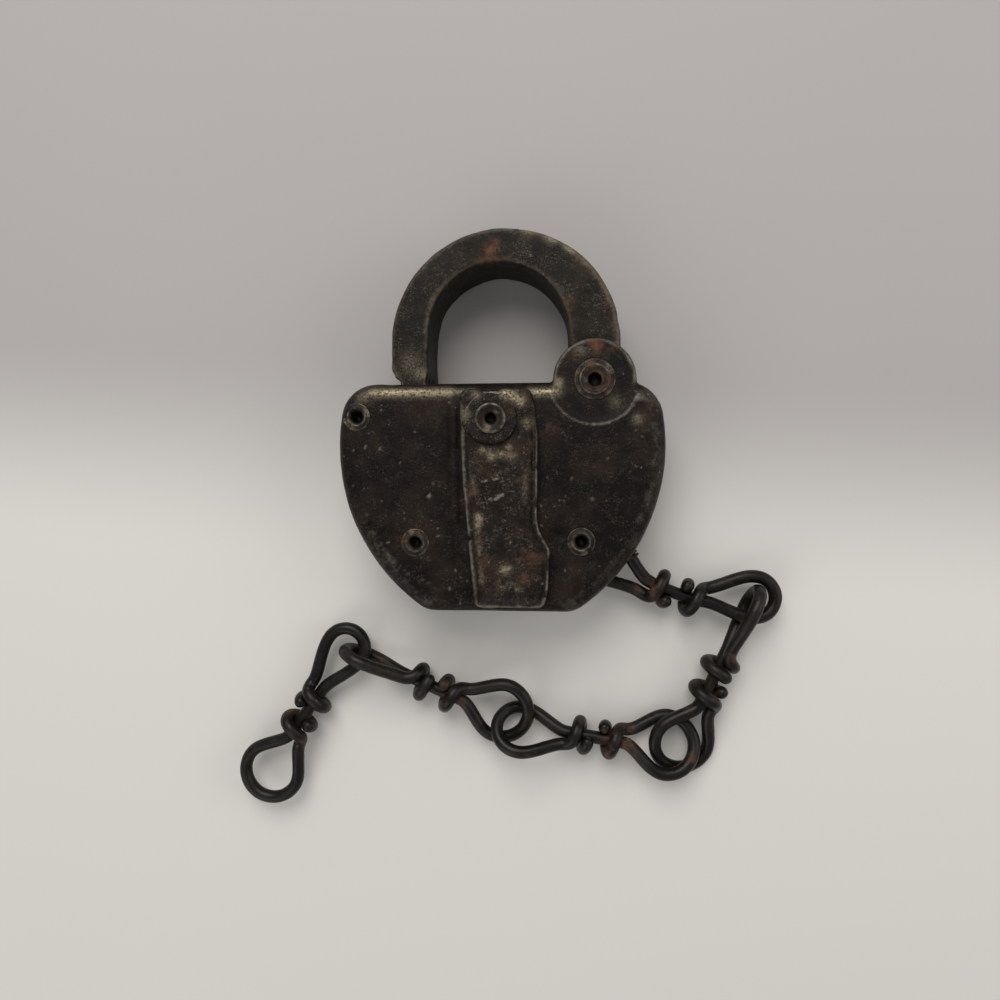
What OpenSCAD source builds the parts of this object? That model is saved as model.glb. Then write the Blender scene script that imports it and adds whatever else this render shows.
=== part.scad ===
// Switch padlock with a swinging keyhole cover and five knotted wire links.
// It lies on its back: +Z out of the front, +Y towards the shackle, origin at the
// middle of the case outline on the back face.

/* [Case] */
// Width of the case at its widest
case_w = 64; // [58:0.5:78]
// Height of the case from bottom edge to top edge
case_h = 44.7; // [42:0.1:54]
// Thickness of the case from back face to front face
case_t = 19; // [18:0.5:23]
// Thickness of the pressed sheet
sheet_t = 1.8; // [1.4:0.1:2.2]
// Rounding of the pressed edges
edge_r = 3; // [2:0.25:3.5]
// Radius of the upper corners
corner_r = 7; // [5:0.25:9]
// Radius of the lower corners
foot_r = 5; // [3:0.25:6]
// Half the length of the flat bottom edge
foot_half = 12.845; // [11:0.005:15]
// Height of the back pan, where the two halves meet
pan_h = 7.5; // [7:0.25:9]
// Radius of the ears round the heel rivet
ear_r = 8; // [7.6:0.1:9.5]
// How far the front ear sits below the front face
ear_dip = 0.5; // [0.3:0.1:0.8]
// Height of the guard rib beside the cover
rib_h = 0.4; // [0.2:0.05:0.4]
// Width of the guard rib
rib_w = 1.2; // [0.8:0.1:1.6]

/* [Shackle] */
// Outer radius of the bow
bow_r = 22.7; // [21:0.1:27]
// Inner radius of the bow
bow_gap_r = 13.8; // [12:0.1:15]
// Height of the inner bow centre over the case top
bow_rise = 9.95; // [8:0.25:14]
// Width of the heel leg
heel_w = 10.2; // [8:0.1:11.5]
// Width of the toe inside the case
toe_w = 5.5; // [4.5:0.1:6.5]
// Length of the toe below the case top
toe_l = 12; // [10:0.25:13]
// Depth of the notch in the toe
notch_d = 2.4; // [1.8:0.1:2.8]
// Radius of the heel eye
eye_r = 7.5; // [6.5:0.1:7.5]
// Radius of the heel rivet
heel_pin_r = 2.9; // [2.4:0.1:3.4]
// Angle that the shackle swings open
shackle_swing = 70; // [40:1:70]

/* [Cover] */
// Length of the keyhole cover
cover_l = 41.7; // [38:0.1:46]
// Width of the cover at its rivet
cover_w = 15.1; // [13:0.1:16]
// Width of the cover at its swell
swell_w = 14.4; // [13:0.1:16]
// Thickness of the cover plate
cover_t = 1.3; // [1:0.1:1.8]
// Height of the rolled rim over the plate
rim_h = 0.8; // [0.4:0.1:1.2]
// Width of the rolled rim
rim_w = 1.1; // [0.8:0.1:1.6]
// Radius of the raised disc round the cover rivet
boss_r = 5; // [4.2:0.1:6]
// Thickness of the washer under the cover
washer_t = 0.5; // [0.4:0.1:1]

/* [Rivets] */
// Radius of the case rivets
rivet_r = 1.6; // [1.3:0.1:2]
// Radius of the rivet rings on the front
ring_r = 2.7; // [2.4:0.1:3.2]
// Height of the rings over the front
ring_h = 0.25; // [0.15:0.05:0.35]
// Radius of the hollow in the rivet ends
hollow_r = 1; // [0.7:0.05:1.2]
// Depth of the hollow in the rivet ends
hollow_d = 2.5; // [1.5:0.1:4]
// Radius of the countersunk heads on the back
sink_r = 2.8; // [2.4:0.1:3.2]

/* [Lock work] */
// Radius of the post that the barrel key fits over
post_r = 1.6; // [1.3:0.1:1.9]
// Radius of the round part of the keyhole
keyhole_r = 3.6; // [3.2:0.1:4]
// Width of the keyhole's slot for the bit
bit_w = 2.6; // [2:0.1:3.4]
// Reach of the key's bit from the post's axis
bit_reach = 6.8; // [6:0.1:7.5]
// Thickness of the bolt
bolt_t = 3; // [2.4:0.1:3.6]
// Thickness of each lever
lever_t = 1.2; // [0.9:0.1:1.4]
// Angle that the bolt swings from drawn to thrown
bolt_swing = 7; // [6:0.25:8]
// Angle that the levers drop when the key leaves
lever_drop = 4; // [2:0.25:4]
// Thickness of the leaf springs
leaf_t = 0.5; // [0.3:0.05:0.7]

/* [Chain] */
// Diameter of the chain wire
wire_d = 2.7; // [2.2:0.1:2.8]
// Reach of a link from its knot to the middle of its end bend
link_reach = 20.65; // [20:0.05:21.5]
// Reach of the loop that goes into the case
case_reach = 26; // [25:0.1:28]
// Diameter of the thin tie wires
tie_d = 0.9; // [0.6:0.1:1.2]

/* [Fits] */
// Radial clearance of shafts that turn
run_gap = 0.05; // [0.02:0.01:0.09]
// Clearance between moving pieces side by side
side_gap = 0.25; // [0.15:0.05:0.35]
// Clearance of the shackle between the case walls
shackle_gap = 0.5; // [0.3:0.05:0.8]

/* [Hidden] */

steel = "#2a2320";
shackle_steel = "#30281f";
cover_steel = "#3a332b";
rivet_steel = "#574c3d";
inner_steel = "#5b5650";
wire_steel = "#1d1b1a";
rust = "#6b3a20";

eps = 0.01;
$fn = 96;

// Case outline: curved sides, flat top and bottom, rounded corners
half_w = case_w / 2;
half_h = case_h / 2;
side_y = half_h - 12.35;
foot_y = foot_r - half_h;
foot_in = half_w - foot_half;
// The side's circle touches the case's width and the foot's circle
side_r = (pow(foot_in, 2) + pow(side_y - foot_y, 2) - pow(foot_r, 2)) / (2 * (foot_in - foot_r));
side_x = half_w - side_r;
foot_a = atan2(foot_y - side_y, foot_half - side_x);
corner_y = half_h - corner_r;
corner_x = side_x + sqrt(pow(side_r - corner_r, 2) - pow(corner_y - side_y, 2));
corner_a = atan2(corner_y - side_y, corner_x - side_x);

// Levels of the case
floor_z = sheet_t;
roof_z = case_t - sheet_t;
ear_z = case_t - ear_dip;

// Shackle: the bow is centred on the case
gap_x = -0.5;
gap_y = half_h + bow_rise;
heel_in = 5;
heel = [gap_x + bow_gap_r + heel_in, half_h + 0.15];
bow_x = heel.x + heel_w - heel_in - bow_r;
bow_y = half_h + 7.95;
toe_x = gap_x - bow_gap_r;
toe_end = half_h - toe_l;
notch_y = half_h - 6.85;
notch_h = 4.4;
shoulder_y = half_h + 1.1;
shackle_z = floor_z + shackle_gap;
shackle_t = ear_z - sheet_t - floor_z - 2 * shackle_gap;

// Places of the rivets and posts
cover_at = [-1.45, half_h - 7.45];
post_at = [1, half_h - 30.35];
upper_at = [rivet_r + sheet_t + 0.3 - corner_x - corner_r, corner_y + 0.25];
lower_left_at = [toe_x - 2, post_at.y - 0.8];
lower_right_at = [half_w - 16.3, 13.85 - half_h];
lever_at = [6 - half_w, post_at.y + 11];
hub_r = 3.2;

// Levels of the lock work, counted down from the roof
stack_gap = 0.2;
function lever_z(i) = roof_z - 0.4 - i * lever_t - (i - 1) * stack_gap;
bolt_z = lever_z(3) - stack_gap - bolt_t;
arm_x = toe_x + side_gap + 0.15;
arm_w = 3.6;
stump_r = 0.7;
stump_gap = 0.2;
stump_at = [arm_x + 2, post_at.y + 14];

// Cover
cover_z = case_t + washer_t;
cover_top = cover_at.y + 5.7;
cover_end = cover_top - cover_l;
cover_left = cover_at.x - 6.05;
cover_right = cover_left + cover_w;
swell_left = cover_left + 2.9;
swell_right = swell_left + swell_w;
cover_round = 1.6;
cover_ring_r = 3;
heel_ring_r = 3.9;
heel_ring_h = 0.5;
heel_hollow_r = 1.25;
rim_top = cover_z + cover_t + rim_h;

// Countersunk ends on the back
sink_h = 1.2;

// Chain: the wire is swept with this many sides
wire_sides = 8;
coil_r = wire_d + 0.06;
coil_pitch = wire_d + 0.08;
coil_turn = 420;
coil_x = 6.8;
bend_r = 2.5;
kink_x = 5;
flare_start = 0.8;
bend_a = atan(2 * PI * coil_r / coil_pitch);
link_z = floor_z + 1.7 + wire_d / 2;
flare_n = 6;
round_n = 10;
bend_n = 3;
turn_n = 14;

// Each half of a link: reach, width, roll, yaw, pitch; half 1 points towards -X
entry_yaw = -17;
entry_turn = -20;
entry_w = 11;
entry_half = [case_reach, entry_w, 0, entry_yaw, 0];
// Gap between the rivet's shaft and the wire round it
hook_gap = 0.2;
// Half width that the loop sweeps as it swings in its opening
chain_room = entry_w / 2 + wire_d / 2 + 1.3;
hook_at = case_reach - wire_d / 2 - rivet_r - hook_gap;
link_1_at = lower_right_at
    - spin2([kink_x, 0] + spin2([hook_at - kink_x, coil_r / 2], entry_yaw), entry_turn + 180);
// What the rest of the chain moves by when the first link does
chain_shift = link_1_at - [35.48, -19.85];
// Stretches of the first link's centre line that carry the tie wires
tie_places = [turn_n + bend_n + 4, turn_n + bend_n + flare_n + round_n + 3];

function spin2(p, a) = [p.x * cos(a) - p.y * sin(a), p.x * sin(a) + p.y * cos(a)];
function about(p, c, a) = c + spin2(p - c, a);

// ---- shapes that repeat ----

function arc(c, r, a0, a1, n) =
    [for (i = [0:n]) c + r * [cos(a0 + (a1 - a0) * i / n), sin(a0 + (a1 - a0) * i / n)]];

// Right half of the case outline, moved in by d
function outline_half(d) = concat(
    arc([foot_half, foot_y], foot_r - d, -90, foot_a, 5),
    arc([side_x, side_y], side_r - d, foot_a + 3, corner_a - 3, 18),
    arc([corner_x, corner_y], corner_r - d, corner_a, 90, 6));

function outline(d) =
    let (right = outline_half(d), n = len(right))
    concat(right, [for (i = [n - 1:-1:0]) [-right[i].x, right[i].y]]);

// Closed skin over rings that all have as many points
module skin(rings) {
    n = len(rings);
    m = len(rings[0]);
    walls = [for (i = [0:n - 2], k = [0:m - 1])
        let (a = i * m + k, b = i * m + (k + 1) % m) each [[a, a + m, b], [b, a + m, b + m]]];
    ends = [[for (k = [0:m - 1]) k], [for (k = [m - 1:-1:0]) (n - 1) * m + k]];
    polyhedron([for (ring = rings) each ring], concat(walls, ends));
}

function ring_at(d, z) = [for (p = outline(d)) [p.x, p.y, z]];

// Half of the case as a solid block, its outer edge rounded
module front_block() {
    skin(concat([ring_at(0, pan_h)], [for (a = [0:18:90])
        ring_at(edge_r * (1 - cos(a)), case_t - edge_r * (1 - sin(a)))]));
}

module back_block() {
    skin(concat([for (a = [90:-18:0])
        ring_at(edge_r * (1 - cos(a)), edge_r * (1 - sin(a)))], [ring_at(0, pan_h)]));
}

// Openings in the edge wall for the toe, the heel and the chain
module edge_openings() {
    translate([0, 0, shackle_z - shackle_gap / 2])
        linear_extrude(shackle_t + shackle_gap) {
            translate([toe_x - toe_w - 2.7, half_h - sheet_t - 1]) square([toe_w + 3.2, sheet_t + 2]);
            translate([heel.x - eye_r - 0.4, half_h - corner_r + 2])
                square([half_w - 1.4 - heel.x + eye_r + 0.4, corner_r]);
        }
}

module post_hole(at, z0, z1, r) {
    translate([at.x, at.y, z0 - eps]) cylinder(h = z1 - z0 + 2 * eps, r = r);
}

module sunk_hole(at, r) {
    post_hole(at, 0, floor_z, r);
    translate([at.x, at.y, -eps]) cylinder(h = sink_h + eps, r1 = sink_r + eps, r2 = r);
}

// Pin turned from one rod: countersunk below, with a hollow ringed end above
module ringed_rivet(at, r, top, ring, height, hollow, sink) {
    translate(at) rotate_extrude() polygon([
        [0, 0], [sink, 0], [r, sink_h], [r, top], [ring, top], [ring, top + height * 0.4],
        [ring - 0.4, top + height], [hollow + 0.15, top + height],
        [hollow, top + height - 0.15], [hollow, top - hollow_d], [0, top - hollow_d - 0.3]]);
}

module plain_post(at, r, top, collar) {
    translate(at) rotate_extrude() polygon([
        [0, 0], [sink_r, 0], [r, sink_h], [r, floor_z], [collar, floor_z],
        [collar, floor_z + 0.8], [r, floor_z + 0.8], [r, top - 0.4], [r - 0.4, top], [0, top]]);
}

module slot2(a, b, r) {
    way = atan2(b.y - a.y, b.x - a.x);
    polygon(concat(arc(b, r, way - 90, way + 90, 12), arc(a, r, way + 90, way + 270, 12)));
}

// ---- case ----

module front_case() {
    color(steel) difference() {
        union() {
            difference() {
                union() {
                    front_block();
                    translate([0, 0, roof_z + 1]) linear_extrude(case_t - roof_z - 1 + rib_h) guard_rib();
                }
                translate([0, 0, pan_h - 1]) linear_extrude(roof_z - pan_h + 1) polygon(outline(sheet_t));
                post_hole(heel, ear_z, case_t, ear_r + 0.2);
                edge_openings();
            }
            translate([heel.x, heel.y, ear_z - sheet_t]) cylinder(h = sheet_t, r = ear_r);
        }
        post_hole(heel, roof_z - 2, case_t, heel_pin_r + run_gap);
        for (at = [upper_at, lower_left_at, lower_right_at, cover_at])
            post_hole(at, roof_z, case_t, rivet_r + run_gap);
        post_hole(post_at, roof_z, case_t, keyhole_r);
        translate([post_at.x - bit_w / 2, post_at.y - bit_reach, roof_z - eps])
            cube([bit_w, bit_reach, sheet_t + 2 * eps]);
    }
}

module guard_rib() {
    rib_x = cover_left - 0.9 - rib_w;
    slot2([rib_x + rib_w / 2, cover_at.y + 2.5], [rib_x + rib_w / 2 + 0.4, post_at.y + 4], rib_w / 2);
}

module back_case() {
    color(steel) difference() {
        union() {
            difference() {
                back_block();
                translate([0, 0, floor_z]) linear_extrude(pan_h) polygon(outline(sheet_t));
                edge_openings();
                chain_opening();
            }
            translate(heel) cylinder(h = sheet_t, r = ear_r);
        }
        translate([heel.x, heel.y, -eps]) cylinder(h = shackle_z + eps, r = heel_pin_r + run_gap);
        translate([heel.x, heel.y, -eps])
            cylinder(h = sink_h + eps, r1 = heel_pin_r + sink_h + eps, r2 = heel_pin_r + run_gap);
        for (at = [upper_at, lower_left_at, lower_right_at, cover_at, post_at, lever_at])
            sunk_hole(at, (at == post_at ? post_r : rivet_r) + run_gap);
    }
}

// The first link leaves through the pan's wall, between the plate and the seam
module chain_opening() {
    translate([lower_right_at.x, lower_right_at.y, floor_z])
        rotate(entry_turn + entry_yaw)
            translate([entry_w / 2 - 1, -chain_room, 0]) cube([14, 2 * chain_room, pan_h]);
}

// ---- shackle ----

module shackle() {
    color(shackle_steel) difference() {
        translate([0, 0, shackle_z]) {
            linear_extrude(shackle_t) {
                difference() {
                    union() {
                        translate([bow_x, bow_y]) circle(bow_r);
                        translate([bow_x - bow_r, shoulder_y + 1.4])
                            square([bow_r, bow_y - shoulder_y - 1.4]);
                        // forged shoulder over the toe
                        translate([bow_x - bow_r + 1.4, shoulder_y]) square([bow_r, 2]);
                    }
                    translate([-half_w - bow_r, -half_h]) square([2 * half_w + 2 * bow_r, half_h + shoulder_y]);
                    translate([gap_x, gap_y]) circle(bow_gap_r);
                    translate([toe_x, 0]) square([2 * bow_gap_r, gap_y]);
                }
                heel_leg();
                toe();
            }
        }
        translate([heel.x, heel.y, 0]) cylinder(h = case_t, r = heel_pin_r + run_gap);
    }
}

module heel_leg() {
    translate(heel) circle(eye_r);
    polygon([
        [heel.x - heel_in, gap_y + eps], [heel.x - heel_in, heel.y + 4],
        [heel.x - heel_in - 1, heel.y], [heel.x + heel_in, heel.y],
        [heel.x + heel_w - heel_in, heel.y + 5.4], [heel.x + heel_w - heel_in, bow_y],
        [heel.x + heel_w - heel_in - 0.6, gap_y + 2]]);
}

// Toe below the shoulder, with the notch that the bolt catches
module toe() {
    difference() {
        translate([toe_x - toe_w, toe_end]) square([toe_w, shoulder_y - toe_end + 1]);
        translate([toe_x - notch_d, notch_y - notch_h / 2]) square([notch_d + 1, notch_h]);
        translate([toe_x, toe_end]) rotate(45) square(2, center = true);
        translate([toe_x - toe_w, toe_end]) rotate(45) square(2.6, center = true);
    }
}

// ---- rivets and posts ----

module heel_rivet() {
    color(rivet_steel)
        ringed_rivet(heel, heel_pin_r, ear_z, heel_ring_r, heel_ring_h, heel_hollow_r,
            heel_pin_r + sink_h);
}

module upper_rivet() { color(rivet_steel) case_rivet(upper_at); }

module lower_left_rivet() { color(rivet_steel) case_rivet(lower_left_at); }

module lower_right_rivet() { color(rivet_steel) case_rivet(lower_right_at); }

module case_rivet(at) {
    ringed_rivet(at, rivet_r, case_t, ring_r, ring_h, hollow_r, sink_r);
}

module cover_rivet() {
    color(rivet_steel)
        ringed_rivet(cover_at, rivet_r, rim_top + run_gap, cover_ring_r, 0.45, hollow_r, sink_r);
}

module key_post() { color(inner_steel) plain_post(post_at, post_r, case_t - 0.6, post_r + 1.2); }

module lever_post() { color(inner_steel) plain_post(lever_at, rivet_r, roof_z, rivet_r + 1.2); }

// ---- cover ----

module cover_plate() {
    offset(r = cover_round, $fn = 24) offset(delta = -cover_round) polygon([
        [cover_left, cover_top - 1], [cover_left + 1.2, cover_top],
        [cover_right - 1.4, cover_top], [cover_right - 0.6, cover_top - 3.5],
        [cover_right, cover_top - 9.5], [cover_right - 0.2, post_at.y + 4],
        [swell_right - 2, post_at.y + 1.8], [swell_right, post_at.y - 2],
        [swell_right - 0.3, cover_end + 3], [swell_right - 1.2, cover_end],
        [swell_left, cover_end], [swell_left - 0.2, cover_end + 2.4],
        [cover_left + 0.6, post_at.y + 11]]);
}

module cover() {
    color(cover_steel) difference() {
        union() {
            translate([0, 0, cover_z]) linear_extrude(cover_t) cover_plate();
            translate([0, 0, cover_z + cover_t - eps]) linear_extrude(rim_h + eps) difference() {
                cover_plate();
                offset(delta = -rim_w) cover_plate();
            }
            translate([cover_at.x, cover_at.y, cover_z]) cylinder(h = cover_t + rim_h, r = boss_r);
        }
        translate([cover_at.x, cover_at.y, 0]) cylinder(h = 2 * case_t, r = rivet_r + run_gap);
    }
}

module cover_washer() {
    color(inner_steel) translate([cover_at.x, cover_at.y, case_t]) difference() {
        cylinder(h = washer_t, r = boss_r - 0.6);
        translate([0, 0, -1]) cylinder(h = washer_t + 2, r = rivet_r + run_gap);
    }
}

// ---- lock work, shown with the bolt drawn and the levers lifted ----

module bolt() {
    nose_x = toe_x - notch_d + side_gap;
    color(inner_steel) about_pivot(lower_left_at, -bolt_swing) {
        difference() {
            translate([0, 0, bolt_z]) linear_extrude(bolt_t) {
                translate(lower_left_at) circle(4);
                polygon([
                    lower_left_at + [-3, 2.2], [arm_x, post_at.y + 14], [arm_x, notch_y - 1.7],
                    [nose_x, notch_y - 1.7], [nose_x, notch_y + 1.2], [nose_x + 0.8, notch_y + 1.9],
                    [arm_x + arm_w, notch_y + 1.9], [arm_x + arm_w, post_at.y + 11],
                    lower_left_at + [3.4, 1.6]]);
                polygon([
                    lower_left_at + [1, 3.2], [post_at.x - 6.2, lower_left_at.y - 2.4],
                    [post_at.x - 6.2, lower_left_at.y - 5], lower_left_at + [1, -3.8]]);
            }
            translate([lower_left_at.x, lower_left_at.y, 0]) cylinder(h = case_t, r = rivet_r + run_gap);
        }
        translate([stump_at.x, stump_at.y, bolt_z + bolt_t - eps])
            cylinder(h = roof_z - 0.2 - bolt_z - bolt_t, r = stump_r);
    }
}

module about_pivot(at, a) {
    translate(at) rotate(a) translate(-at) children();
}

// Leaf that bears on the cover rivet and throws the bolt into the notch
module bolt_spring() {
    stop = about(cover_at, lower_left_at, bolt_swing);
    tip_x = stop.x - rivet_r - 0.15;
    foot_x = arm_x + arm_w;
    color(inner_steel) about_pivot(lower_left_at, -bolt_swing)
        translate([0, 0, bolt_z + 0.6]) linear_extrude(bolt_t - 1.2) polygon([
            [foot_x, stump_at.y - 3.5], [foot_x + leaf_t, stump_at.y - 3.5],
            [foot_x + leaf_t, stump_at.y + 1], [tip_x, stop.y - 0.5], [tip_x, stop.y + 1],
            [tip_x - leaf_t, stop.y + 1], [foot_x, stump_at.y + 2]]);
}

module lever(i) {
    drawn = about(stump_at, lower_left_at, -bolt_swing);
    color(inner_steel) translate([0, 0, lever_z(i)]) difference() {
        linear_extrude(lever_t)
            polygon(concat(arc(lever_at, hub_r, 270, 90, 16), [
                lever_at + [5.5, hub_r], [toe_x - 0.5, toe_end - 1.1], [stump_at.x + 3.4, toe_end - 1.1],
                [stump_at.x + 5, post_at.y + 13], [post_at.x + 1.5, post_at.y + 10.5 + 0.4 * i],
                [post_at.x + 1.5, post_at.y + 7.2], [post_at.x - 4, post_at.y + 7.4],
                [stump_at.x, lever_at.y - hub_r]]));
        translate([0, 0, -1]) linear_extrude(lever_t + 2) {
            translate(lever_at) circle(rivet_r + run_gap);
            slot2(drawn, stump_at, stump_r + stump_gap);
            slot2(drawn, about(drawn, lever_at, lever_drop), stump_r + stump_gap);
            slot2(stump_at, about(stump_at, lever_at, lever_drop), stump_r + stump_gap);
        }
    }
}

module lever_1() { lever(1); }

module lever_2() { lever(2); }

module lever_3() { lever(3); }

// Leaf that bears on the upper rivet and presses its lever down
module lever_spring(i) {
    foot_y = lever_at.y + hub_r;
    tip = upper_at + [rivet_r + 0.15, 1];
    color(inner_steel) translate([0, 0, lever_z(i) + 0.1]) linear_extrude(lever_t - 0.2) polygon([
        [lever_at.x + 5.3, foot_y], [lever_at.x + 5.3, foot_y + leaf_t],
        [lever_at.x + 2.4, foot_y + leaf_t], [tip.x + leaf_t, tip.y], [tip.x, tip.y],
        [lever_at.x + 1.8, foot_y]]);
}

module lever_spring_1() { lever_spring(1); }

module lever_spring_2() { lever_spring(2); }

module lever_spring_3() { lever_spring(3); }

// ---- chain of knotted links ----

function ease(t) = 3 * t * t - 2 * t * t * t + flare_start * (t * t * t - 2 * t * t + t);

// Centre line of half a link: out of the knot, round the end bend, back beside the
// core and once round it
function half_line(reach, w) =
    let (mid = coil_r / 2, bend_x = reach - w / 2, span = bend_x - coil_x,
        turn_0 = bend_r * (1 - cos(bend_a)) / coil_r * 180 / PI,
        turn_x = coil_x - bend_r * sin(bend_a))
    concat(
        [for (i = [0:flare_n - 1]) let (t = i / flare_n)
            [coil_x + span * t, (mid - w / 2) * ease(t), 0]],
        [for (i = [0:round_n]) let (a = -90 + 180 * i / round_n)
            [bend_x + w / 2 * cos(a), mid + w / 2 * sin(a), 0]],
        [for (i = [flare_n - 1:-1:0]) let (t = i / flare_n)
            [coil_x + span * t, coil_r + (mid + w / 2 - coil_r) * ease(t), 0]],
        [for (i = [1:bend_n]) let (a = bend_a * i / bend_n,
                turn = bend_r * (1 - cos(a)) / coil_r * 180 / PI)
            [coil_x - bend_r * sin(a), coil_r * cos(turn), coil_r * sin(turn)]],
        [for (i = [1:turn_n]) let (turn = turn_0 + (coil_turn - turn_0) * i / turn_n)
            [turn_x - coil_pitch * (turn - turn_0) / 360, coil_r * cos(turn), coil_r * sin(turn)]]);

function roll(p, a) = [p.x, p.y * cos(a) - p.z * sin(a), p.y * sin(a) + p.z * cos(a)];
function tilt(p, a) = [p.x * cos(a) - p.z * sin(a), p.y, p.x * sin(a) + p.z * cos(a)];
function turn(p, a) = [p.x * cos(a) - p.y * sin(a), p.x * sin(a) + p.y * cos(a), p.z];
function kink(p, yaw, pitch) =
    p.x <= kink_x ? p : [kink_x, 0, 0] + turn(tilt(p - [kink_x, 0, 0], pitch), yaw);

function placed_half(h) = [for (p = half_line(h[0], h[1])) kink(roll(p, h[2]), h[3], h[4])];

function link_line(at, heading, half_1, half_2) =
    let (a = placed_half(half_1), b = placed_half(half_2), n = len(a))
    [for (p = concat(
            [for (i = [n - 1:-1:0]) turn(a[i], 180)],
            [for (x = [-3.6:1.8:3.6]) [x, 0, 0]],
            b)) at + turn(p, heading)];

function unit(v) = v / norm(v);

// Round wire swept along a centre line
module wire(line, d) {
    n = len(line);
    along = [for (i = [0:n - 1]) unit(line[min(i + 1, n - 1)] - line[max(i - 1, 0)])];
    first = unit(cross(along[0], [0.31, 0.47, 0.83]));
    side = [for (i = 0, s = first; i < n;
            i = i + 1, s = i < n ? unit(s - (s * along[i]) * along[i]) : s) s];
    skin([for (i = [0:n - 1]) let (up = cross(along[i], side[i]))
        [for (k = [0:wire_sides - 1]) let (a = 360 * k / wire_sides)
            line[i] + d / 2 * (cos(a) * side[i] + sin(a) * up)]]);
}

function narrow(roll_a, yaw, pitch) = [link_reach, 8.6, roll_a, yaw, pitch];
function wide(roll_a, yaw, pitch) = [link_reach, 12, roll_a, yaw, pitch];
function oval(roll_a, yaw, pitch) = [link_reach, 10, roll_a, yaw, pitch];

module link_1() {
    color(wire_steel) wire(link_line([link_1_at.x, link_1_at.y, link_z], entry_turn,
        entry_half, narrow(-4, 18, -1)), wire_d);
}

// Each later link hooks through the one before it; the places are set by hand
module floor_link(at, heading, half_1, half_2) {
    color(wire_steel) wire(link_line(
        [at.x + chain_shift.x, at.y + chain_shift.y, at.z], heading, half_1, half_2), wire_d);
}

module link_2() { floor_link([43.3, -37.7, 4.2], 64.7, wide(-16, -6.5, -4), narrow(90, 0, 1.5)); }

module link_3() { floor_link([19, -50.4, 4.1], -9, oval(40, -1, 0), wide(-18, -1.5, 0)); }

module link_4() { floor_link([-14.9, -40.6, 4.3], -23, narrow(90, 0, 0), wide(10, 0, 0)); }

module link_5() { floor_link([-42.9, -46.4, 4.2], 54, wide(0, 0, 0), narrow(0, -1, 0.5)); }

// Two turns of thin wire round one rod of the first link
module tie_turns(place) {
    line = link_line([link_1_at.x, link_1_at.y, link_z], entry_turn, entry_half, narrow(-4, 18, -1));
    along = line[place + 1] - line[place];
    ring = wire_d / 2 + tie_d / 2 + 0.02;
    color(rust) translate((line[place] + line[place + 1]) / 2)
        rotate([0, 0, atan2(along.y, along.x)]) rotate([0, 90, 0])
            for (s = [-1, 1]) translate([0, 0, s * 0.42 * tie_d])
                rotate_extrude() translate([ring, 0]) circle(tie_d / 2, $fn = 32);
}

module tie_wire_inner() { tie_turns(tie_places[0]); }

module tie_wire_outer() { tie_turns(tie_places[1]); }

front_case();
back_case();
shackle();
heel_rivet();
upper_rivet();
lower_left_rivet();
lower_right_rivet();
cover();
cover_rivet();
cover_washer();
key_post();
lever_post();
bolt();
bolt_spring();
lever_1();
lever_2();
lever_3();
lever_spring_1();
lever_spring_2();
lever_spring_3();
link_1();
link_2();
link_3();
link_4();
link_5();
tie_wire_inner();
tie_wire_outer();
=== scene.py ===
import math

import bpy
import numpy as np
from mathutils import Matrix, Vector
from mathutils.kdtree import KDTree


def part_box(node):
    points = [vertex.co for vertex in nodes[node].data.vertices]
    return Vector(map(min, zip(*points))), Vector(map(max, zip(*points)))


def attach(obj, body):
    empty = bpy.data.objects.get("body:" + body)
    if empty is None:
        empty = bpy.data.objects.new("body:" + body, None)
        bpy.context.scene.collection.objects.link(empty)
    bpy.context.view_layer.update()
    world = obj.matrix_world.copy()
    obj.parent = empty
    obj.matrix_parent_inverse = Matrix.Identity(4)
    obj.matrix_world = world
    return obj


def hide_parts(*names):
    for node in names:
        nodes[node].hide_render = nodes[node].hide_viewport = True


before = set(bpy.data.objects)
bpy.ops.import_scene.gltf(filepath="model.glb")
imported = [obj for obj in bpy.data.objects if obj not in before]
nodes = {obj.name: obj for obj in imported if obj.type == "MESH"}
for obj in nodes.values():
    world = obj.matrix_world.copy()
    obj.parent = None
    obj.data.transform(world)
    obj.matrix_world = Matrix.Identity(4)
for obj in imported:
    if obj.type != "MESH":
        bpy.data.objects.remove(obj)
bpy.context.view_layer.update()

scene = bpy.context.scene
mm = 0.001
print("frame loaded:", len(nodes), "nodes")

# camera, square on to the face of the lock, a little from its right

cameraLook = {"place": (11.5, 0, 162.7), "target": (0.2, -0.56, 19), "lens": 27.04, "sensor": 36,
              "near": 0.005, "far": 20}


def makeCamera(look):
    data = bpy.data.cameras.new("camera")
    data.lens = look["lens"]
    data.sensor_width = look["sensor"]
    data.clip_start = look["near"]
    data.clip_end = look["far"]
    camera = bpy.data.objects.new("camera", data)
    scene.collection.objects.link(camera)
    place = Vector(look["place"])
    ahead = (Vector(look["target"]) - place).normalized()
    right = ahead.cross(Vector((0, 1, 0))).normalized()
    up = right.cross(ahead)
    turn = Matrix((right, up, -ahead)).transposed().to_4x4()
    camera.matrix_world = Matrix.Translation(place * mm) @ turn
    scene.camera = camera


makeCamera(cameraLook)

# light: a wide lamp over the top of the lock, weaker ones at its right and lower left, and an even sky

lampLooks = [
    {"name": "keyLamp", "place": (-60, 330, 420), "size": 0.4, "watts": 1.85},
    {"name": "sideLamp", "place": (420, 40, 260), "size": 0.3, "watts": 0.45},
    {"name": "lowLamp", "place": (-260, -330, 300), "size": 0.35, "watts": 0.45},
]
skyLook = {"colour": (0.93, 0.96, 1.0, 1), "strength": 0.41}


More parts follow.
